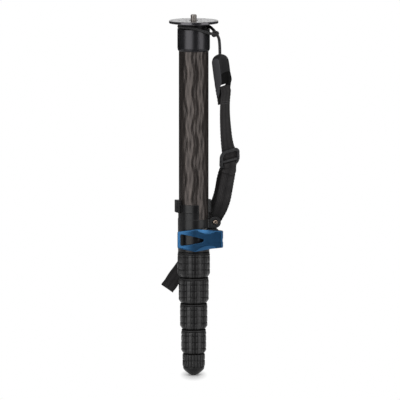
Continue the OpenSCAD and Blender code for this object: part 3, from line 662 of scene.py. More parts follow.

# %% [markdown]
# ## The moulded tab
# Between cord and webbing hangs a teardrop of moulded plastic: thick at its head, thin at the bar below its slot, with
# a pocket in its face. Extruding an outline would give it one thickness all over. It is lofted instead from squared
# ovals, one for each height, whose front face curves away towards the bar. The pocket's floor is a ramp that runs back
# from the face to the bar. Pocket, slot and the room below the bar are cut out, and the edges rounded. The faces share
# three copies of one plastic with light and shade painted in: the side towards the light is painted greyer, the face
# is painted darker and the pocket is painted nearly black.

# %% Moulded plastic
def moulded(name, dark, light, rough, gloss=0.2):
    """Black moulded plastic: fine spark-eroded grain, faint flow marks, and edges rubbed a little smoother and painted
    lighter, a painted edge highlight with wear.
    """
    made = Finish(name, light, rough, gloss=gloss)
    flow = made.spread(made.grain(0.02, 2.0, (1, 1, 0.4)), 0.3, 0.8, 0.3, 0.7)
    soft, rim = made.patchy(flow, dark, light, 0.0005, 0.5)
    fine = made.grain(0.0005, 2.0)
    made.rough(made.sum("SUBTRACT", made.spread(fine, rough - 0.06, rough + 0.08), made.times(rim, 0.1)))
    made.relief(fine, 0.00005, 0.35, soft)
    return made


# Three copies of one plastic with painted light and shade: painted lit side, painted shaded face, painted black pocket
tab_painted_lit = moulded("tab_painted_lit", (0.037, 0.037, 0.041), (0.058, 0.058, 0.064), 0.42, gloss=0.14)
face_painted_shade = moulded("face_painted_shade", (0.011, 0.011, 0.0115), (0.02, 0.02, 0.021), 0.5, gloss=0.12)
pocket_painted_deep_shade = moulded("pocket_painted_deep_shade", (0.004, 0.004, 0.004), (0.008, 0.008, 0.008), 0.7, gloss=0.06)
print("plastics:", [plastic.mat.name for plastic in (tab_painted_lit, face_painted_shade, pocket_painted_deep_shade)])

# %% Tab
TAB = Matrix.Translation((31.0, 2.8, -63)) @ turned((-1, -7.5, 49))
TAB_HALF, TAB_TOP, SIDE_LEAN = 8.5, 26.6, 0.1
# The right side swells most at this height; the left side draws in below the bar
SWELL, SWELL_AT, SWELL_REACH, BAR_Z, BAR_DRAW = 2.7, -9, 16, -17, 0.3
# Heights of the tab with its front face, its back face and the squareness of its section
TAB_FORM = [(26.6, -1.2, 1.6, 2.4), (26.2, -2.4, 3.2, 2.8), (25.2, -3.5, 4.9, 3.8), (23, -4.4, 6.0, 5.5),
            (19, -5.0, 6.6, 8), (14, -5.3, 6.4, 9), (8, -5.4, 6.1, 10), (2, -5.4, 5.9, 10), (-3, -5.0, 5.4, 10),
            (-7, -2.7, 5.4, 9), (-11, -1.5, 4.7, 8), (-14, -1.0, 3.8, 8), (-17, 0.4, 3.0, 6), (-19.5, 1.6, 2.6, 5),
            (-20.4, 1.9, 2.4, 4)]
rings = []
for z, front, back, square in threaded(TAB_FORM, 3):
    into_head = max(z - (TAB_TOP - TAB_HALF), 0.0)
    half = math.sqrt(max(TAB_HALF ** 2 - into_head ** 2, 0.6))
    left = half - max(0.0, BAR_Z - z) * BAR_DRAW
    right = half + SWELL * max(0.0, 1 - abs(z - SWELL_AT) / SWELL_REACH)
    ring = []
    for x, y in oval(2 * half, back - front, 96, square):
        draw = right if x > 0 else left * (1 - SIDE_LEAN * (0.5 - y / (back - front)))
        ring.append((x * draw / half, (front + back) / 2 + y, z))
    rings.append(placed(TAB, ring))
strap_tab = mesh_piece("strap_tab_moulded", *loft(rings), tab_painted_lit, 30)


POCKET_LEFT, POCKET_RIGHT, POCKET_LOW, OUTSIDE = -7.1, 9.6, -24, 9
RAMP_TOP, RAMP_FRONT, RAMP_SLOPE = 7.6, -3.8, 0.289


def ramp_at(z):
    """Depth of the pocket's floor at a height."""
    return RAMP_FRONT + (RAMP_TOP - z) * RAMP_SLOPE


arch = [(0.2 + 7.2 * x, 6.0 + 1.6 * z) for x, z in circle(1, 24)[:13]]
arch += [(POCKET_LEFT, -9), (POCKET_LEFT, POCKET_LOW), (POCKET_RIGHT, POCKET_LOW), (POCKET_RIGHT, -9)]
# The pocket's right wall leans outwards in the upper half
mouth = [(x + (ramp_at(z) + OUTSIDE if x > 5 and z > -5 else 0), -OUTSIDE, z) for x, z in arch]
pocket = [placed(TAB, mouth), placed(TAB, [(x, ramp_at(z), z) for x, z in arch])]
cut(strap_tab, mesh_piece("pocket", *loft(pocket), tab_painted_lit))
cut(strap_tab, block("slot", (POCKET_LEFT, -2.6, -10.6), (9.2, OUTSIDE, -6.8), tab_painted_lit, TAB))
cut(strap_tab, block("below_bar", (POCKET_LEFT, -OUTSIDE, POCKET_LOW), (POCKET_RIGHT, OUTSIDE, -14.4), tab_painted_lit,
                     TAB))
round_edges(strap_tab, 0.4 * MM, 45)
print("tab:", len(strap_tab.data.vertices), "points")

# %% Plastics of the tab
for plastic in (face_painted_shade, pocket_painted_deep_shade):
    strap_tab.data.materials.append(plastic.mat)
# Front, top and right faces get the painted shade, the pocket floor the painted deep shade; the left side stays painted
# lit
to_tab = TAB.inverted()
for face in strap_tab.data.polygons:
    middle, facing = to_tab @ (face.center / MM), to_tab.to_3x3() @ face.normal
    if facing.y < -0.5 or facing.z > 0.5 or middle.x > 5:
        face.material_index = 1
    if -7.4 < middle.x < 8.6 and -14 < middle.z < 7.9 and abs(middle.y - ramp_at(middle.z)) < 0.35:
        face.material_index = 2
on_body(strap_tab, "upper_section", "strap_plastic", "strap_tab")
print("tab faces by plastic:", [sum(f.material_index == k for f in strap_tab.data.polygons) for k in range(3)])

# %% [markdown]
# ### The two tapes
# The stations follow the CAD strap, with the long tape a little wider where it fills the buckle. In front of them come
# the turns round the tab's bar and round the buckle's lowest bar, given in each part's own axes and carried into the
# shared frame by its matrix. The short tape narrows where it is folded into the lock's lug.

# %% Tapes
BUCKLE = Matrix.Translation((38.7, 13, -149.4)) @ turned((20, -10, 30))


def stations_in(part, points, yaw, roll, share=1.0):
    return [(*(part @ Vector(p)), yaw, roll, share) for p in points]


tab_turn = stations_in(TAB, [(0.3, 3.5, -28), (0.3, 3.7, -22), (0.3, 4.4, -16), (0.4, 4.9, -12.5), (0.5, 4.2, -10.2),
                             (0.8, 2.2, -9.6), (1.4, -0.3, -10.3), (1.7, -1.4, -12.4), (1.8, -1.4, -16)], 47, 7.5, 0.95)
DOWN = [(33.9, 5.0, -88, 49, 7, 1), (33.6, 5.6, -98, 48, 7, 1), (33.9, 6.3, -109, 45, 7, 1),
        (34.6, 7.3, -120, 41, 7, 1), (35.6, 8.8, -131, 36, 7, 1), (37.0, 11.4, -140, 31, 8, 1.04),
        (38.9, 14.9, -147.5, 26, 9, 1.16), (39.0, 18.2, -153, 24, 8, 1.16), (36.9, 20.8, -159, 23, 5, 1.06),
        (34.4, 22.2, -166, 19, 1, 1), (32.2, 21.0, -175, 12, -6, 1), (30.6, 20.4, -185, 6, -10, 1),
        (28.4, 20.3, -194, 3, -14, 1),
        (24.5, 20.6, -205, 0, -22, 1), (18, 21.5, -219, 0, -28, 1), (10, 22.5, -234, 0, -31, 1),
        (1, 23, -249, 0, -33, 1), (-9, 23, -265, 0, -34, 1), (-20, 22.5, -281, 0, -35, 1), (-29, 22, -294, 0, -35, 1)]
long_tape, long_frames, long_run = tape("strap_tape_long", tab_turn + DOWN, webbing)
buckle_turn = [(37.0, 13.5, -168, 17, 9, 0.98), (37.6, 14.0, -166, 20, 8, 0.98)]
buckle_turn += stations_in(BUCKLE, [(-0.4, -2.2, -12.8), (-0.2, -2.1, -9.8), (0, -1.0, -7.8), (0, 0.9, -7.7),
                                    (0, 2.1, -9.2), (0, 2.1, -11.8)], 28, 8)
UP = [(37.5, 15.6, -167, 18, 1, 1), (35.8, 12.4, -176, 12, -6, 1), (34.1, 9.2, -185, 6, -10, 1),
      (32.2, 6.2, -194, 3, -14, 1), (29.2, 3.4, -203.5, 0, -22, 0.95), (26.0, 0.6, -211.5, 0, -27, 0.8),
      (23.8, 0, -217.5, 0, -29, 0.66), (22.7, 0, -221, 0, -29, 0.62)]
short_tape, short_frames, short_run = tape("strap_tape_short", buckle_turn + UP, webbing_painted_shade)
tab_seam = stitch_rows("tab_seam", long_frames, [38.6, 40.6])
buckle_seam = stitch_rows("buckle_seam", short_frames, [1.0, 2.4])
on_body(long_tape, "upper_section", "webbing", "webbing_upper", "webbing_tail")
on_body(short_tape, "upper_section", "webbing", "webbing_lower")
for seam in (tab_seam, buckle_seam):
    on_body(seam, "upper_section", "webbing")
print("tapes:", round(long_run, 4), "m and", round(short_run, 4), "m")

# %% [markdown]
# ### The buckle
# The slider is a small frame of bars with round edges. A box with two holes would look stamped from sheet, so its outer
# frame is a squared oval swept round a rounded rectangle, the middle bar is a short sweep of its own, and a thicker
# post stands on each side of it.

# %% Buckle
buckle_plastic = moulded("buckle_plastic", (0.014, 0.014, 0.015), (0.034, 0.034, 0.036), 0.42)
HALF_W, TOP_BAR, MIDDLE_BAR, LOW_BAR = 10.6, 7.8, -4.0, -9.8
frame_line = []
for cx, cz, start, bend in ((1, 1, 0, 4.2), (-1, 1, 90, 6.5), (-1, -1, 180, 2.6), (1, -1, 270, 5.0)):
    for k in range(9):
        a = math.radians(start + 90 * k / 8)
        frame_line.append(Vector((cx * (HALF_W - bend) + bend * math.cos(a), 0,
                                  (TOP_BAR if cz > 0 else LOW_BAR) + bend * (math.sin(a) - cz))))
verts, faces = sweep(frame_line, oval(3.4, 2.8, 16, 3.0), looped=True, side=Vector((0, 1, 0)))
middle_line = [Vector((x, 0, MIDDLE_BAR)) for x in (-10.4, -6, 0, 6, 10.4)]
add_skin(verts, faces, sweep(middle_line, oval(3.0, 2.6, 16, 2.8), side=Vector((0, 1, 0))))
for side, low in ((-1, -10.4), (1, -5.6)):
    post = [(low, 0.5), (low + 0.8, 1), (low / 2, 1), (-1, 1), (1.0, 0.95), (1.6, 0.5)]
    add_skin(verts, faces, loft([[Vector((side * HALF_W + a * thick, b * thick - 0.7, z))
                                  for a, b in oval(3.0, 3.3, 16, 2.5)] for z, thick in post]))
strap_buckle = mesh_piece("strap_buckle_moulded", placed(BUCKLE, verts), faces, buckle_plastic, 50)
on_body(strap_buckle, "upper_section", "strap_plastic", "strap_buckle")
print("buckle:", len(strap_buckle.data.vertices), "points")

# %% [markdown]
# ## The flip lever
# The blue lever lies across the front of the lock, flatter than the lock is round, and turns on a pin at its right end.
# It is a casting with a tapering window, a ridge across its widest place and two scooped facets right of the ridge.
# Cutting an extrusion would leave its face flat, so the outer face is laid out as a grid: one direction runs from the
# finger end to the pin, the other climbs from the lower edge to the upper one. The rows follow the rims of the two
# facets, so that these stay crisp, and beyond a rim each point sinks in. A second layer behind gives the thickness. The
# window, the pin's bore and the way of the tension bolt, which stays put while the lever flips, are cut at the end.

# %% Lever finish
lever_blue = Finish("lever_blue", (0.03, 0.095, 0.2), 0.34, metal=0.92, gloss=0.3)
blast = lever_blue.grain(0.00035, 2.0)
cloud = lever_blue.spread(lever_blue.grain(0.02, 2.0), 0.0, 0.5, 0.3, 0.7)
blue_soft, _ = lever_blue.patchy(cloud, (0.024, 0.088, 0.195), (0.04, 0.125, 0.26), 0.0005, 0.6)
lever_blue.rough(lever_blue.spread(blast, 0.28, 0.38))
lever_blue.relief(blast, 0.00008, 0.3, blue_soft)
print("lever finish:", len(lever_blue.tree.nodes), "nodes")

# %% Lever outline
PIVOT = Vector((24.5, -16.55, -236))
IN_R, OUT_R, FLAT_R, LIP = 17.6, 20.9, 66, 1.6
WRAP, END_X, NOSE, CORNER, CAM_R = 63, 31.7, 2.4, 3.2, 7.2
# Height of the upper and the lower edge from the middle, and depth of the two facets from these edges
TOP_EDGE = [(-21, 8.4), (-17, 9.6), (2.0, 12.2), (3.2, 12.2), (14, 11.5), (26, 10.6), (29.5, 10.2), (33, 9.4)]
LOW_EDGE = [(-21, 7.2), (-17, 8.7), (1.4, 12.2), (2.6, 12.2), (10, 10.9), (18.6, 9.2), (26, 8.2), (33, 7.5)]
TOP_FACET = [(2.6, 0), (4, 1.5), (6, 2.9), (8, 3.7), (10, 4.2), (12, 4.4), (14, 4.3), (16, 3.9), (18, 3.2), (20, 2.3),
             (22, 1.2), (24, 0)]
LOW_FACET = [(0.8, 0), (4, 2.4), (7.5, 4.1), (13.7, 5.1), (19.1, 4.1), (22.9, 2.6), (25.4, 0)]


def read_off(marks, x):
    """Value of a line of marks at x, level beyond its ends."""
    if x <= marks[0][0]:
        return marks[0][1]
    for (a, low), (b, high) in zip(marks, marks[1:]):
        if x <= b:
            return low + (high - low) * (x - a) / (b - a)
    return marks[-1][1]


def rounded_end(near):
    """How far an edge draws in at this distance from a round corner."""
    return CORNER - math.sqrt(max(CORNER ** 2 - max(CORNER - near, 0.0) ** 2, 0.0))


print("lever outline:", len(TOP_EDGE) + len(LOW_EDGE), "marks on its edges")

# %% Lever form
FACET_ROWS, FACE_ROWS = [0, 0.06, 0.16, 0.32, 0.5, 0.75], 22
TOP_FALL, LOW_FALL, LEAST_FACET = 0.48, 0.42, 0.5
LIP_FROM, LIP_RUN, CAM_FROM, CAM_BACK = 14.5, 2, 6, -17.9
# How far the edges and the finger end are rounded back, and over which width
EDGE_FALL, EDGE_WIDE, END_FALL, END_WIDE = 0.35, 0.6, 1.4, 3.5
ARC_MM = OUT_R * math.pi / 180
spans = [-WRAP + v for v in (0, 0.5, 1.2, 2.2, 3.5, 5, 7)] + [-WRAP + 7 + 1.5 * k for k in range(1, 38)]
spans += [0.7 * k for k in range(1, 42)] + [29.3, 30.1, 30.7, 31.2, 31.5, 31.65]
grid = []
for s in spans:
    if s < 0:
        out = around(math.radians(s), 1, 0)
        place = out * OUT_R
        place.y = place.x ** 2 / (2 * FLAT_R) - OUT_R
        lip = min(max((-place.x - LIP_FROM) / LIP_RUN, 0.0), 1.0)
        back = place - Vector((place.x / FLAT_R, -1, 0)).normalized() * (OUT_R - IN_R + LIP * lip)
        near = (s + WRAP) * ARC_MM
    else:
        out = Vector((0, -1, 0))
        bend = NOSE - math.sqrt(max(NOSE ** 2 - max(s - (END_X - NOSE), 0.0) ** 2, 0.0))
        place, back = Vector((s, bend - OUT_R, 0)), Vector((s, CAM_BACK if s > CAM_FROM else -IN_R, 0))
        near = (END_X - s) * 2.2 + 0.6
    draw = rounded_end(near)
    top, low = read_off(TOP_EDGE, place.x) - draw, read_off(LOW_EDGE, place.x) - draw
    top_f, low_f = (max(LEAST_FACET, read_off(facet, place.x)) for facet in (TOP_FACET, LOW_FACET))
    rows = [(-low + low_f * f, LOW_FALL * low_f * (1 - f)) for f in FACET_ROWS]
    rows += [(-low + low_f + (top + low - top_f - low_f) * k / FACE_ROWS, 0.0) for k in range(FACE_ROWS + 1)]
    rows += [(top - top_f * f, TOP_FALL * top_f * (1 - f)) for f in reversed(FACET_ROWS)]
    end = END_FALL * max(0.0, 1 - near / END_WIDE) ** 2 if s < 0 else 0.0
    outer = []
    for rise, fall in rows:
        edge = EDGE_FALL * max(0.0, 1 - min(rise + low, top - rise) / EDGE_WIDE) ** 2
        outer.append(place - out * (fall + edge + end) + Vector((0, 0, PIVOT.z + rise)))
    inner = [back + Vector((0, 0, PIVOT.z + max(min(rise, top - 0.3), 0.3 - low))) for rise, fall in rows]
    grid.append(outer + inner[::-1])
lever = mesh_piece("flip_lever_cast", *loft([[p * MM for p in ring] for ring in grid]), lever_blue, 35)
print("lever face:", len(spans), "columns of", len(rows), "rows")

# %% Lever window and cam
window = []
for y, flare in ((-26.0, 2.4), (-20.3, 0.0), (-9.0, 0.0)):
    window.append([Vector((x, y, PIVOT.z + z)) * MM for x, z in (
        (-14.4 - flare, 5.4), (-13.8, 6.3 + flare), (-12.8, 6.8 + flare), (-4, 5.1 + flare), (6, 2.7 + flare),
        (9.6, 1.7 + flare), (10.6, 0.9), (10.9 + flare, 0.0), (10.6, -0.9), (9.6, -1.7 - flare), (6, -2.6 - flare),
        (-4, -4.5 - flare), (-12.8, -5.8 - flare), (-13.8, -5.3 - flare), (-14.4 - flare, -4.4))])
cut(lever, mesh_piece("lever_window", *loft(window), lever_blue))


def upright(name, outline, low, high, draw=0.0):
    """A prism on the pivot from an outline in plan, drawn in a little at both ends."""
    levels = ((low, draw), (low + draw, 0.0), (high - draw, 0.0), (high, draw)) if draw else ((low, 0), (high, 0))
    middle = sum((Vector(p) for p in outline), Vector((0, 0))) / len(outline)
    rings = []
    for z, inset in levels:
        ring = []
        for x, y in outline:
            way = Vector((x, y)) - middle
            x, y = Vector((x, y)) - way.normalized() * inset
            ring.append((PIVOT + Vector((x, y, z))) * MM)
        rings.append(ring)
    return mesh_piece(name, *loft(rings), lever_blue, 35)


cam = upright("lever_cam", [(x, max(y, -3.6)) for x, y in circle(CAM_R)], -7.9, 10.1, 0.5)
# The bolt's way round the pin as the lever flips; one side slants by the last ten degrees of the flip
BOLT_HALF = 2.1
bolt_way = [(-BOLT_HALF, -2.1), (-BOLT_HALF, 12), (12, 12), (11.4, -4.1), (-0.4, -2.1)]
for piece in (cam, lever):
    cut(piece, upright("bolt_room", bolt_way, -BOLT_HALF, BOLT_HALF))
cut(cam, upright("pin_bore", circle(2.56), -7.15, 7.15))
cut(lever, upright("cam_room", [(-BOLT_HALF, -2.15), (15.5, -2.15), (15.5, 16.55), (-BOLT_HALF, 16.55)], -BOLT_HALF,
                   BOLT_HALF))
on_body(lever, "lever", "lever_blue", "flip_lever")
on_body(cam, "lever", "lever_blue")
print("lever:", len(lever.data.vertices), "points, cam:", len(cam.data.vertices))

# %% [markdown]
# ## Finishes of the hard parts
# The CAD solids of the tubes, plate, collar and inside parts have the right shape already, so they keep it and only get
# a finish. The plate and the collar are black anodised aluminium: turned, so their fine marks run round the axis. A
# bump made of rings of noise, measured by the distance from the axis and the height, follows that turning everywhere.
# The plastics and the rubber are the same few grains at other sizes, and every finish is a little lighter on its edges:
# a painted edge highlight together with rubbed wear.

# %% Dressing CAD parts
TWISTS, INNER, TUBES = range(2, 6), range(2, 7), range(1, 7)


def dress(finish, *names):
    """Gives CAD parts a finish; their shape is left as it is."""
    for name in names:
        mesh = nodes[name].data
        mesh.materials.clear()
        mesh.materials.append(finish.mat)


def each(name, numbers):
    return ["%s_%d" % (name, n) for n in numbers]


def round_the_axis(finish):
    """Distance from the tube's axis, angle round it in turns, and height, as sockets."""
    x, y, up = finish.node("ShaderNodeSeparateXYZ", {0: finish.place}).outputs
    away = finish.sum("SQRT", finish.plus(finish.times(x, x), finish.times(y, y)))
    return away, finish.sum("DIVIDE", finish.sum("ARCTAN2", y, x), 2 * math.pi), up


print("dressing helpers ready")

# %% Anodised parts
VIOLET = (0.97, 0.94, 1.0)


def anodised(name, dark, light, rough, gloss):
    """Black anodised aluminium with turning marks, and the height above the frame's zero as a socket."""
    made = Finish(name, light, rough, gloss=gloss, sheen=VIOLET)
    away, _, up = round_the_axis(made)
    ring_place = made.node("ShaderNodeCombineXYZ", {0: away, 1: 0.0, 2: up}).outputs[0]
    rings = made.grain(0.00025, 2.0, place=ring_place)
    soft, _ = made.patchy(made.spread(made.grain(0.015, 3.0), 0.2, 0.7, 0.3, 0.7), dark, light, 0.0004, 0.8)
    made.rough(made.spread(rings, rough - 0.06, rough + 0.08))
    made.relief(rings, 0.00006, 0.4, soft)
    return made, up


plate_black, _ = anodised("plate_black", (0.008, 0.0078, 0.009), (0.018, 0.0175, 0.0205), 0.16, 1.0)
head_black, head_up = anodised("head_black", (0.002, 0.002, 0.0025), (0.006, 0.006, 0.0075), 0.31, 0.62)
# Only the barrel is polished; the neck above it and the lower lip are left matt
barrel = head_black.times(head_black.spread(head_up, 1.0, 0.0, -0.0098, -0.0088),
                          head_black.spread(head_up, 0.0, 1.0, -0.0323, -0.0315))
head_black.set(head_black.shader, "Specular IOR Level", head_black.spread(barrel, 0.1, 0.62))
dress(plate_black, "camera_plate")
dress(head_black, "head_collar")
print("anodised: plate and head")

# %% Metal parts
def turned_metal(name, dark, light, rough):
    made = Finish(name, light, rough, metal=1.0)
    scratch = made.grain(0.0004, 3.0, (1, 1, 4))
    soft, _ = made.patchy(made.spread(scratch, 0.2, 0.8, 0.3, 0.7), dark, light, 0.0003, 0.5)
    made.rough(made.spread(scratch, rough - 0.08, rough + 0.12))
    made.relief(scratch, 0.00003, 0.3, soft)
    return made


steel = turned_metal("steel_turned", (0.15, 0.135, 0.125), (0.36, 0.335, 0.31), 0.24)
bronze = turned_metal("screw_bronzed", (0.12, 0.085, 0.065), (0.34, 0.27, 0.22), 0.26)
dark_metal = turned_metal("nut_dark", (0.02, 0.02, 0.021), (0.05, 0.05, 0.052), 0.4)
dress(steel, "camera_stud", "stud_set_screw", "tension_bolt", "barrel_pin", "adjust_nut", "foot_stud")
dress(bronze, "strap_screw")
dress(dark_metal, "strap_washer", *each("twist_nut", TWISTS), *each("ferrule", TWISTS))
print("metals:", [metal.mat.name for metal in (steel, bronze, dark_metal)])

# %% Plastic parts
lock_plastic = moulded("lock_plastic", (0.004, 0.004, 0.0044), (0.009, 0.0088, 0.0096), 0.31, gloss=0.33)
# Towards the right, over the lug, the colour turns greyer, streaked along the flow
to_right = lock_plastic.node("ShaderNodeSeparateXYZ", {0: lock_plastic.place}).outputs[0]
lug_tone = lock_plastic.times(lock_plastic.spread(to_right, 0.0, 1.0, 0.0165, 0.019),
                              lock_plastic.spread(lock_plastic.grain(0.02, 2.0, (1, 1, 0.4)), 0.6, 1.0))
body_tone = lock_plastic.shader.inputs["Base Color"].links[0].from_socket
lock_plastic.colour(lock_plastic.tint(lug_tone, body_tone, (0.02, 0.0198, 0.0208)))
clip_plastic = moulded("clip_plastic", (0.003, 0.003, 0.0034), (0.007, 0.0068, 0.0076), 0.3, gloss=0.36)
liner_plastic = moulded("liner_plastic", (0.5, 0.49, 0.46), (0.66, 0.65, 0.62), 0.55, gloss=0.4)
dress(lock_plastic, "lock_body", "cam_pad", "foot_plug")
dress(clip_plastic, "strap_clip")
dress(liner_plastic, "clamp_liner", *each("guide_bush", INNER), *each("collet", TWISTS))
print("plastics:", [plastic.mat.name for plastic in (lock_plastic, clip_plastic, liner_plastic)])

# %% Rubber parts
def rubber(name, dark, light, rough):
    """Matt rubber: painted lighter on the tops of its pattern and painted dark as shade where it is deep, with less
    gloss there, and a painted edge highlight.
    """
    made = Finish(name, light, rough, gloss=0.3)
    top = made.node("ShaderNodeAttribute", attribute_name="top").outputs["Fac"]
    pores = made.grain(0.0004, 3.0)
    dust = made.spread(made.grain(0.01, 3.0), 0.55, 1.0, 0.3, 0.7)
    # Painted light and shade: the colour follows how high each point stands, dark in the deep pattern and light on the
    # tops
    soft, _ = made.patchy(made.times(top, dust), dark, light, 0.0005, 0.3)
    made.set(made.shader, "Specular IOR Level", made.spread(top, 0.04, 0.4))
    made.rough(made.spread(pores, rough - 0.05, rough + 0.07))
    made.relief(pores, 0.00006, 0.3, soft)
    return made


grip_rubber = rubber("grip_rubber", (0.003, 0.003, 0.0032), (0.021, 0.0205, 0.021), 0.36)
foot_rubber = rubber("foot_rubber", (0.002, 0.002, 0.0022), (0.0085, 0.0085, 0.009), 0.4)
dress(grip_rubber, *each("twist_grip", TWISTS))
dress(foot_rubber, "foot_collar", "foot_tip")
print("rubbers:", [grip_rubber.mat.name, foot_rubber.mat.name])

# %% [markdown]
# ## Wound carbon
# The tubes are wound from flat bundles of fibre that cross each other at a steep angle, under thin lacquer. The eye
# doesn't see a printed net: each bundle tilts the surface a little to the left or to the right, so the light from the
# soft boxes breaks into long lens shapes. A picture of that would be wrong from every other side. Two families of
# spirals, one left and one right, are therefore drawn as ridges from the angle round the tube and the height; their sum
# makes tall diamonds that lean left, lean right or stay level. Fine upright streaks are the single fibres.

# %% Carbon finish
BUNDLES, LENS = 16, 0.038


def carbon_finish():
    made = Finish("carbon_wound", (0.05, 0.042, 0.039), 0.3, metal=0.7, gloss=0.3)
    _, turn, up = round_the_axis(made)
    wander = made.spread(made.grain(0.016, 2.0, (1, 1, 0.6)), -0.22, 0.22, 0.25, 0.75)
    across = made.plus(made.times(turn, BUNDLES), wander)
    along = made.sum("DIVIDE", up, LENS)
    ridges = [made.sum("PINGPONG", made.plus(made.sum(way, across, along), 200.0), 0.5) for way in ("ADD", "SUBTRACT")]
    bundles = made.plus(*ridges)
    streak = made.grain(0.0006, 2.0, (1, 1, 0.05))
    broad = made.grain(0.0035, 2.0, (1, 1, 0.1))
    tone = made.times(made.spread(streak, 0.5, 1.1, 0.3, 0.7), made.spread(broad, 0.6, 1.15, 0.3, 0.7))
    tone = made.times(tone, made.spread(bundles, 0.55, 1.0, 0.1, 0.6))
    made.colour(made.tint(made.node("ShaderNodeClamp", {"Value": tone}).outputs[0],
                          (0.018, 0.0165, 0.0165), (0.088, 0.075, 0.069)))
    made.rough(made.spread(streak, 0.26, 0.36))
    made.relief(made.plus(bundles, made.times(streak, 0.06)), 0.0005, 1.0)
    return made


carbon = carbon_finish()
dress(carbon, *each("tube", TUBES))
print("carbon:", BUNDLES, "bundles each way round,", round(LENS * 1000, 1), "mm apart in height")

# %% [markdown]
# ## Rubber grips
# Each twist collar wears a rubber sleeve with a pattern that repeats round it: a broad pad, a thin rib on each side of
# it, and between two ribs a sunken strip. Level grooves part all of them at every 7 mm, deep in the strips and faint on
# the pads, and the lower end is drawn in like a cup. Array modifiers could copy one pad, but the sleeve would then be
# many loose blocks. Here the sleeve is one closed skin: columns give the pattern round it, rows give the heights, the
# radius and how much of a groove is met, and a point's relief is the sum of both.

# %% Sleeves
# Place within one repeat, relief in mm and the share of a groove that is cut there
GRIP_PATTERN = [(0.0, -0.5, 0.35), (0.06, -0.48, 0.35), (0.105, -0.55, 0.35), (0.125, -0.6, 0.4), (0.14, -0.2, 0.8),
                (0.16, -0.06, 1), (0.195, -0.02, 1), (0.23, -0.06, 1), (0.25, -0.2, 0.8), (0.265, -0.7, 0.1),
                (0.29, -0.7, 0.1), (0.305, -0.2, 0.4), (0.325, -0.03, 0.4), (0.36, 0.0, 0.4), (0.43, 0.0, 0.4)]
GRIP_PATTERN += [(0.5, 0.0, 0.4)] + [(1 - at, *rest) for at, *rest in reversed(GRIP_PATTERN[1:])]
PATTERN_DEPTH = 0.85


def mark_tops(piece, tops):
    """Notes on each point how high it stands in the pattern, for the finish to paint light and shade from."""
    mark = piece.data.attributes.new("top", "FLOAT", "POINT")
    for place, value in zip(mark.data, tops):
        place.value = value
    return piece


def sleeve(name, radius, bore, low_bore, columns, rows, finish):
    """One closed ribbed skin; rows go from the top to the bottom: height, draw-in, share of the relief, groove."""
    rings, tops = [], []
    for z, draw, share, groove in rows:
        ring = []
        for angle, relief, part in columns:
            sunk = groove * part - relief * share
            ring.append(around(angle, radius - draw - sunk, z) * MM)
            tops.append(max(0.0, 1 - (sunk + draw * (1 - share)) / PATTERN_DEPTH))
        rings.append(ring)
    for away, z in ((low_bore, rows[-1][0]), (bore, rows[0][0])):
        rings.append([around(angle, away, z) * MM for angle, relief, part in columns])
        tops += [0.0] * len(columns)
    return mark_tops(mesh_piece(name, *loft(rings, looped=True), finish, 50), tops)


def round_pattern(pattern, repeats, start):
    return [(2 * math.pi * (k + at) / repeats + math.radians(start), relief, part)
            for k in range(repeats) for at, relief, part in pattern]


def grip_rows(top, length, taper, grooves):
    """Rows of a sleeve with a plain round shoulder, level grooves and a lower end drawn in over the taper."""
    rows = [(0, 1.4, 0, 0), (0.2, 0.9, 0, 0), (0.6, 0.55, 0, 0), (1.2, 0.35, 0, 0), (1.8, 0.3, 0, 0), (2.0, 0.8, 0, 0),
            (2.4, 0.8, 0, 0), (2.6, 0.4, 0.6, 0), (3.0, 0.12, 1, 0), (3.5, 0, 1, 0)]
    for at in grooves:
        rows += [(at - 0.8, 0, 1, 0), (at - 0.5, 0, 1, 0.1), (at - 0.35, 0, 1, 0.6), (at + 0.3, 0, 1, 0.6),
                 (at + 0.5, 0, 1, 0.32), (at + 0.95, 0, 1, 0.1), (at + 1.4, 0, 1, 0)]
    start = length - taper
    rows += [(start - 0.5, 0, 1, 0), (start, 0.12, 1, 0), (start + 0.5, 0.42, 1, 0),
             (start + 0.55 * taper, 1.2, 0.9, 0), (length - 0.4, 2.0, 0.7, 0), (length - 0.1, 2.3, 0.4, 0),
             (length, 2.5, 0.2, 0)]
    return [(top - z, *rest) for z, *rest in rows]


print("sleeves:", len(GRIP_PATTERN), "columns in one repeat")

# %% Grips
GROOVE_STEP, TAPER, BORE_DRAW = 6.9, 3.3, 1.8
# Nut inside, radius, top, length, repeats, start angle and how far down the first groove lies
GRIPS = {2: (16.52, 17.5, -249.9, 27.7, 10, 5, 5.1), 3: (15.12, 16.25, -278.2, 27.7, 9, 0, 7.0),
         4: (13.72, 14.95, -306.5, 27.7, 8, 1, 6.6), 5: (12.32, 13.55, -334.8, 26.4, 8, 6, 6.4)}
for n, (nut, radius, top, length, repeats, start, first) in GRIPS.items():
    grooves = [first + GROOVE_STEP * k for k in range(3)]
    grip = sleeve("grip_%d_moulded" % n, radius, nut, nut - BORE_DRAW, round_pattern(GRIP_PATTERN, repeats, start),
                  grip_rows(top, length, TAPER, grooves), grip_rubber)
    on_body(grip, "twist_%d" % n, "grip_rubber", "twist_grip_%d" % n)

# %% [markdown]
# ### The foot
# The foot is one rubber boot: a ribbed collar with a groove round its middle, and a domed tip that has worn a little
# flat. The tip is turned from a profile, as on a lathe, because nothing on it departs from a round shape.

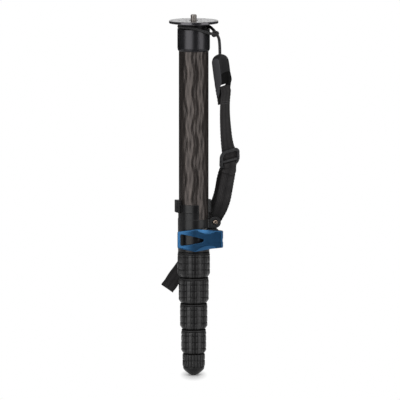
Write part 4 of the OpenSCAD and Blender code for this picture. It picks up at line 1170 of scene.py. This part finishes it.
# %% Foot
FOOT_TOP, FOOT_R, FOOT_BORE, TIP_TONE = -361.8, 12.15, 9.05, 0.6
FOOT_PATTERN = [(0.0, -0.55, 0.3), (0.1, -0.5, 0.3), (0.2, -0.15, 0.7), (0.32, -0.02, 1), (0.5, 0, 1), (0.68, -0.02, 1),
                (0.8, -0.15, 0.7), (0.9, -0.5, 0.3)]
foot_rows = [(0, 0.7, 0.4, 0), (0.3, 0.25, 0.8, 0), (0.9, 0, 1, 0), (5.9, 0, 1, 0), (6.2, 0, 1, 0.4), (6.9, 0, 1, 0.4),
             (7.2, 0, 1, 0), (12.0, 0, 1, 0), (12.5, 0.05, 1, 0), (12.9, 0.2, 0.8, 0), (13.3, 0.4, 0.4, 0)]
foot_collar = sleeve("foot_collar_moulded", FOOT_R, FOOT_BORE, FOOT_BORE, round_pattern(FOOT_PATTERN, 22, 4),
                     [(FOOT_TOP - z, *rest) for z, *rest in foot_rows], foot_rubber)
on_body(foot_collar, "section_6", "foot_rubber", "foot_collar")


def lathe(name, profile, finish):
    """A turned piece from (radius, height) points in mm."""
    rings = [[Vector((x, y, z)) * MM for x, y in circle(r, 72)] for r, z in profile]
    return mesh_piece(name, *loft(rings), finish, 50)


foot_tip = lathe("foot_tip_domed", [(9.1, -375.0), (11.2, -375.2), (11.5, -375.6), (11.5, -377.0), (11.3, -378.0),
                                    (10.7, -379.1), (9.3, -380.6), (7.6, -382.0), (6.0, -383.2), (4.4, -384.3),
                                    (3.0, -385.0), (2.1, -385.35), (1.4, -385.4), (0.3, -385.4)], foot_rubber)
# The whole tip takes one fixed level of the tone that paints shade into the pattern
mark_tops(foot_tip, [TIP_TONE] * len(foot_tip.data.vertices))
on_body(foot_tip, "section_6", "foot_rubber", "foot_tip")
print("foot:", len(foot_collar.data.vertices) + len(foot_tip.data.vertices), "points")

# %% [markdown]
# ## Screws
# The camera screw has a real thread: its radius falls and rises with the height plus a share of the turn, which winds
# the groove into a helix. The strap's screw is a button head: a domed turning with a six-sided socket cut into it.

# %% Camera screw
THREAD_R, PITCH, DEPTH, STUD_LOW, STUD_TOP = 3.3, 1.27, 0.4, -2.0, 6.5
CHAMFER, CHAMFER_SLOPE = 0.75, 0.9
LEVELS, SIDES = 108, 36
rings = []
for k in range(LEVELS + 1):
    z = STUD_LOW + (STUD_TOP - STUD_LOW) * k / LEVELS
    ring = []
    for i, (x, y) in enumerate(circle(1, SIDES)):
        wave = abs(2 * ((z / PITCH - i / SIDES) % 1.0) - 1)
        away = THREAD_R - DEPTH * max(0.0, 3 * wave - 2)
        away = min(away, THREAD_R - CHAMFER + (STUD_TOP - z) * CHAMFER_SLOPE)
        ring.append(Vector((away * x, away * y, z)) * MM)
    rings.append(ring)
camera_screw = mesh_piece("camera_stud_threaded", *loft(rings), steel, 30)
stud_base = lathe("camera_stud_base", [(2.0, -11.5), (4.4, -11.5), (4.75, -11.2), (4.75, -0.7), (4.4, -0.35),
                                       (2.0, -0.35)], steel)
on_body(camera_screw, "upper_section", "steel", "camera_stud")
on_body(stud_base, "upper_section", "steel")
print("thread:", round((STUD_TOP - STUD_LOW) / PITCH, 1), "turns")

# %% Strap screw
LUG = Vector((23.3, -5.7, -218))
head = [(1.5, 8.6), (1.5, 0.1), (2.75, 0.0), (2.8, -0.15), (2.8, -0.6), (2.68, -1.0), (2.35, -1.4), (1.8, -1.68),
        (1.2, -1.8), (0.4, -1.82)]
SOCKET_R = 1.2


def lug_ring(radius, y, count=48):
    return [(LUG + Vector((x, y, z))) * MM for x, z in circle(radius, count)]


strap_screw = mesh_piece("strap_screw_button", *loft([lug_ring(r, y) for r, y in head]), bronze, 45)
cut(strap_screw, mesh_piece("socket", *loft([lug_ring(SOCKET_R, y, 6) for y in (-3.0, -0.6)]), bronze))
on_body(strap_screw, "upper_section", "screw_bronze", "strap_screw")
print("strap screw:", len(strap_screw.data.vertices), "points")

# %% [markdown]
# ## Last step
# The dressed object's box is printed beside the CAD one's. The dressed object has to
# stay as large as the CAD one.

# %% Sizes
low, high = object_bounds()
print("visual box:", [round(v, 4) for v in (high - low)], "CAD box:", [round(v, 4) for v in (cad_high - cad_low)])
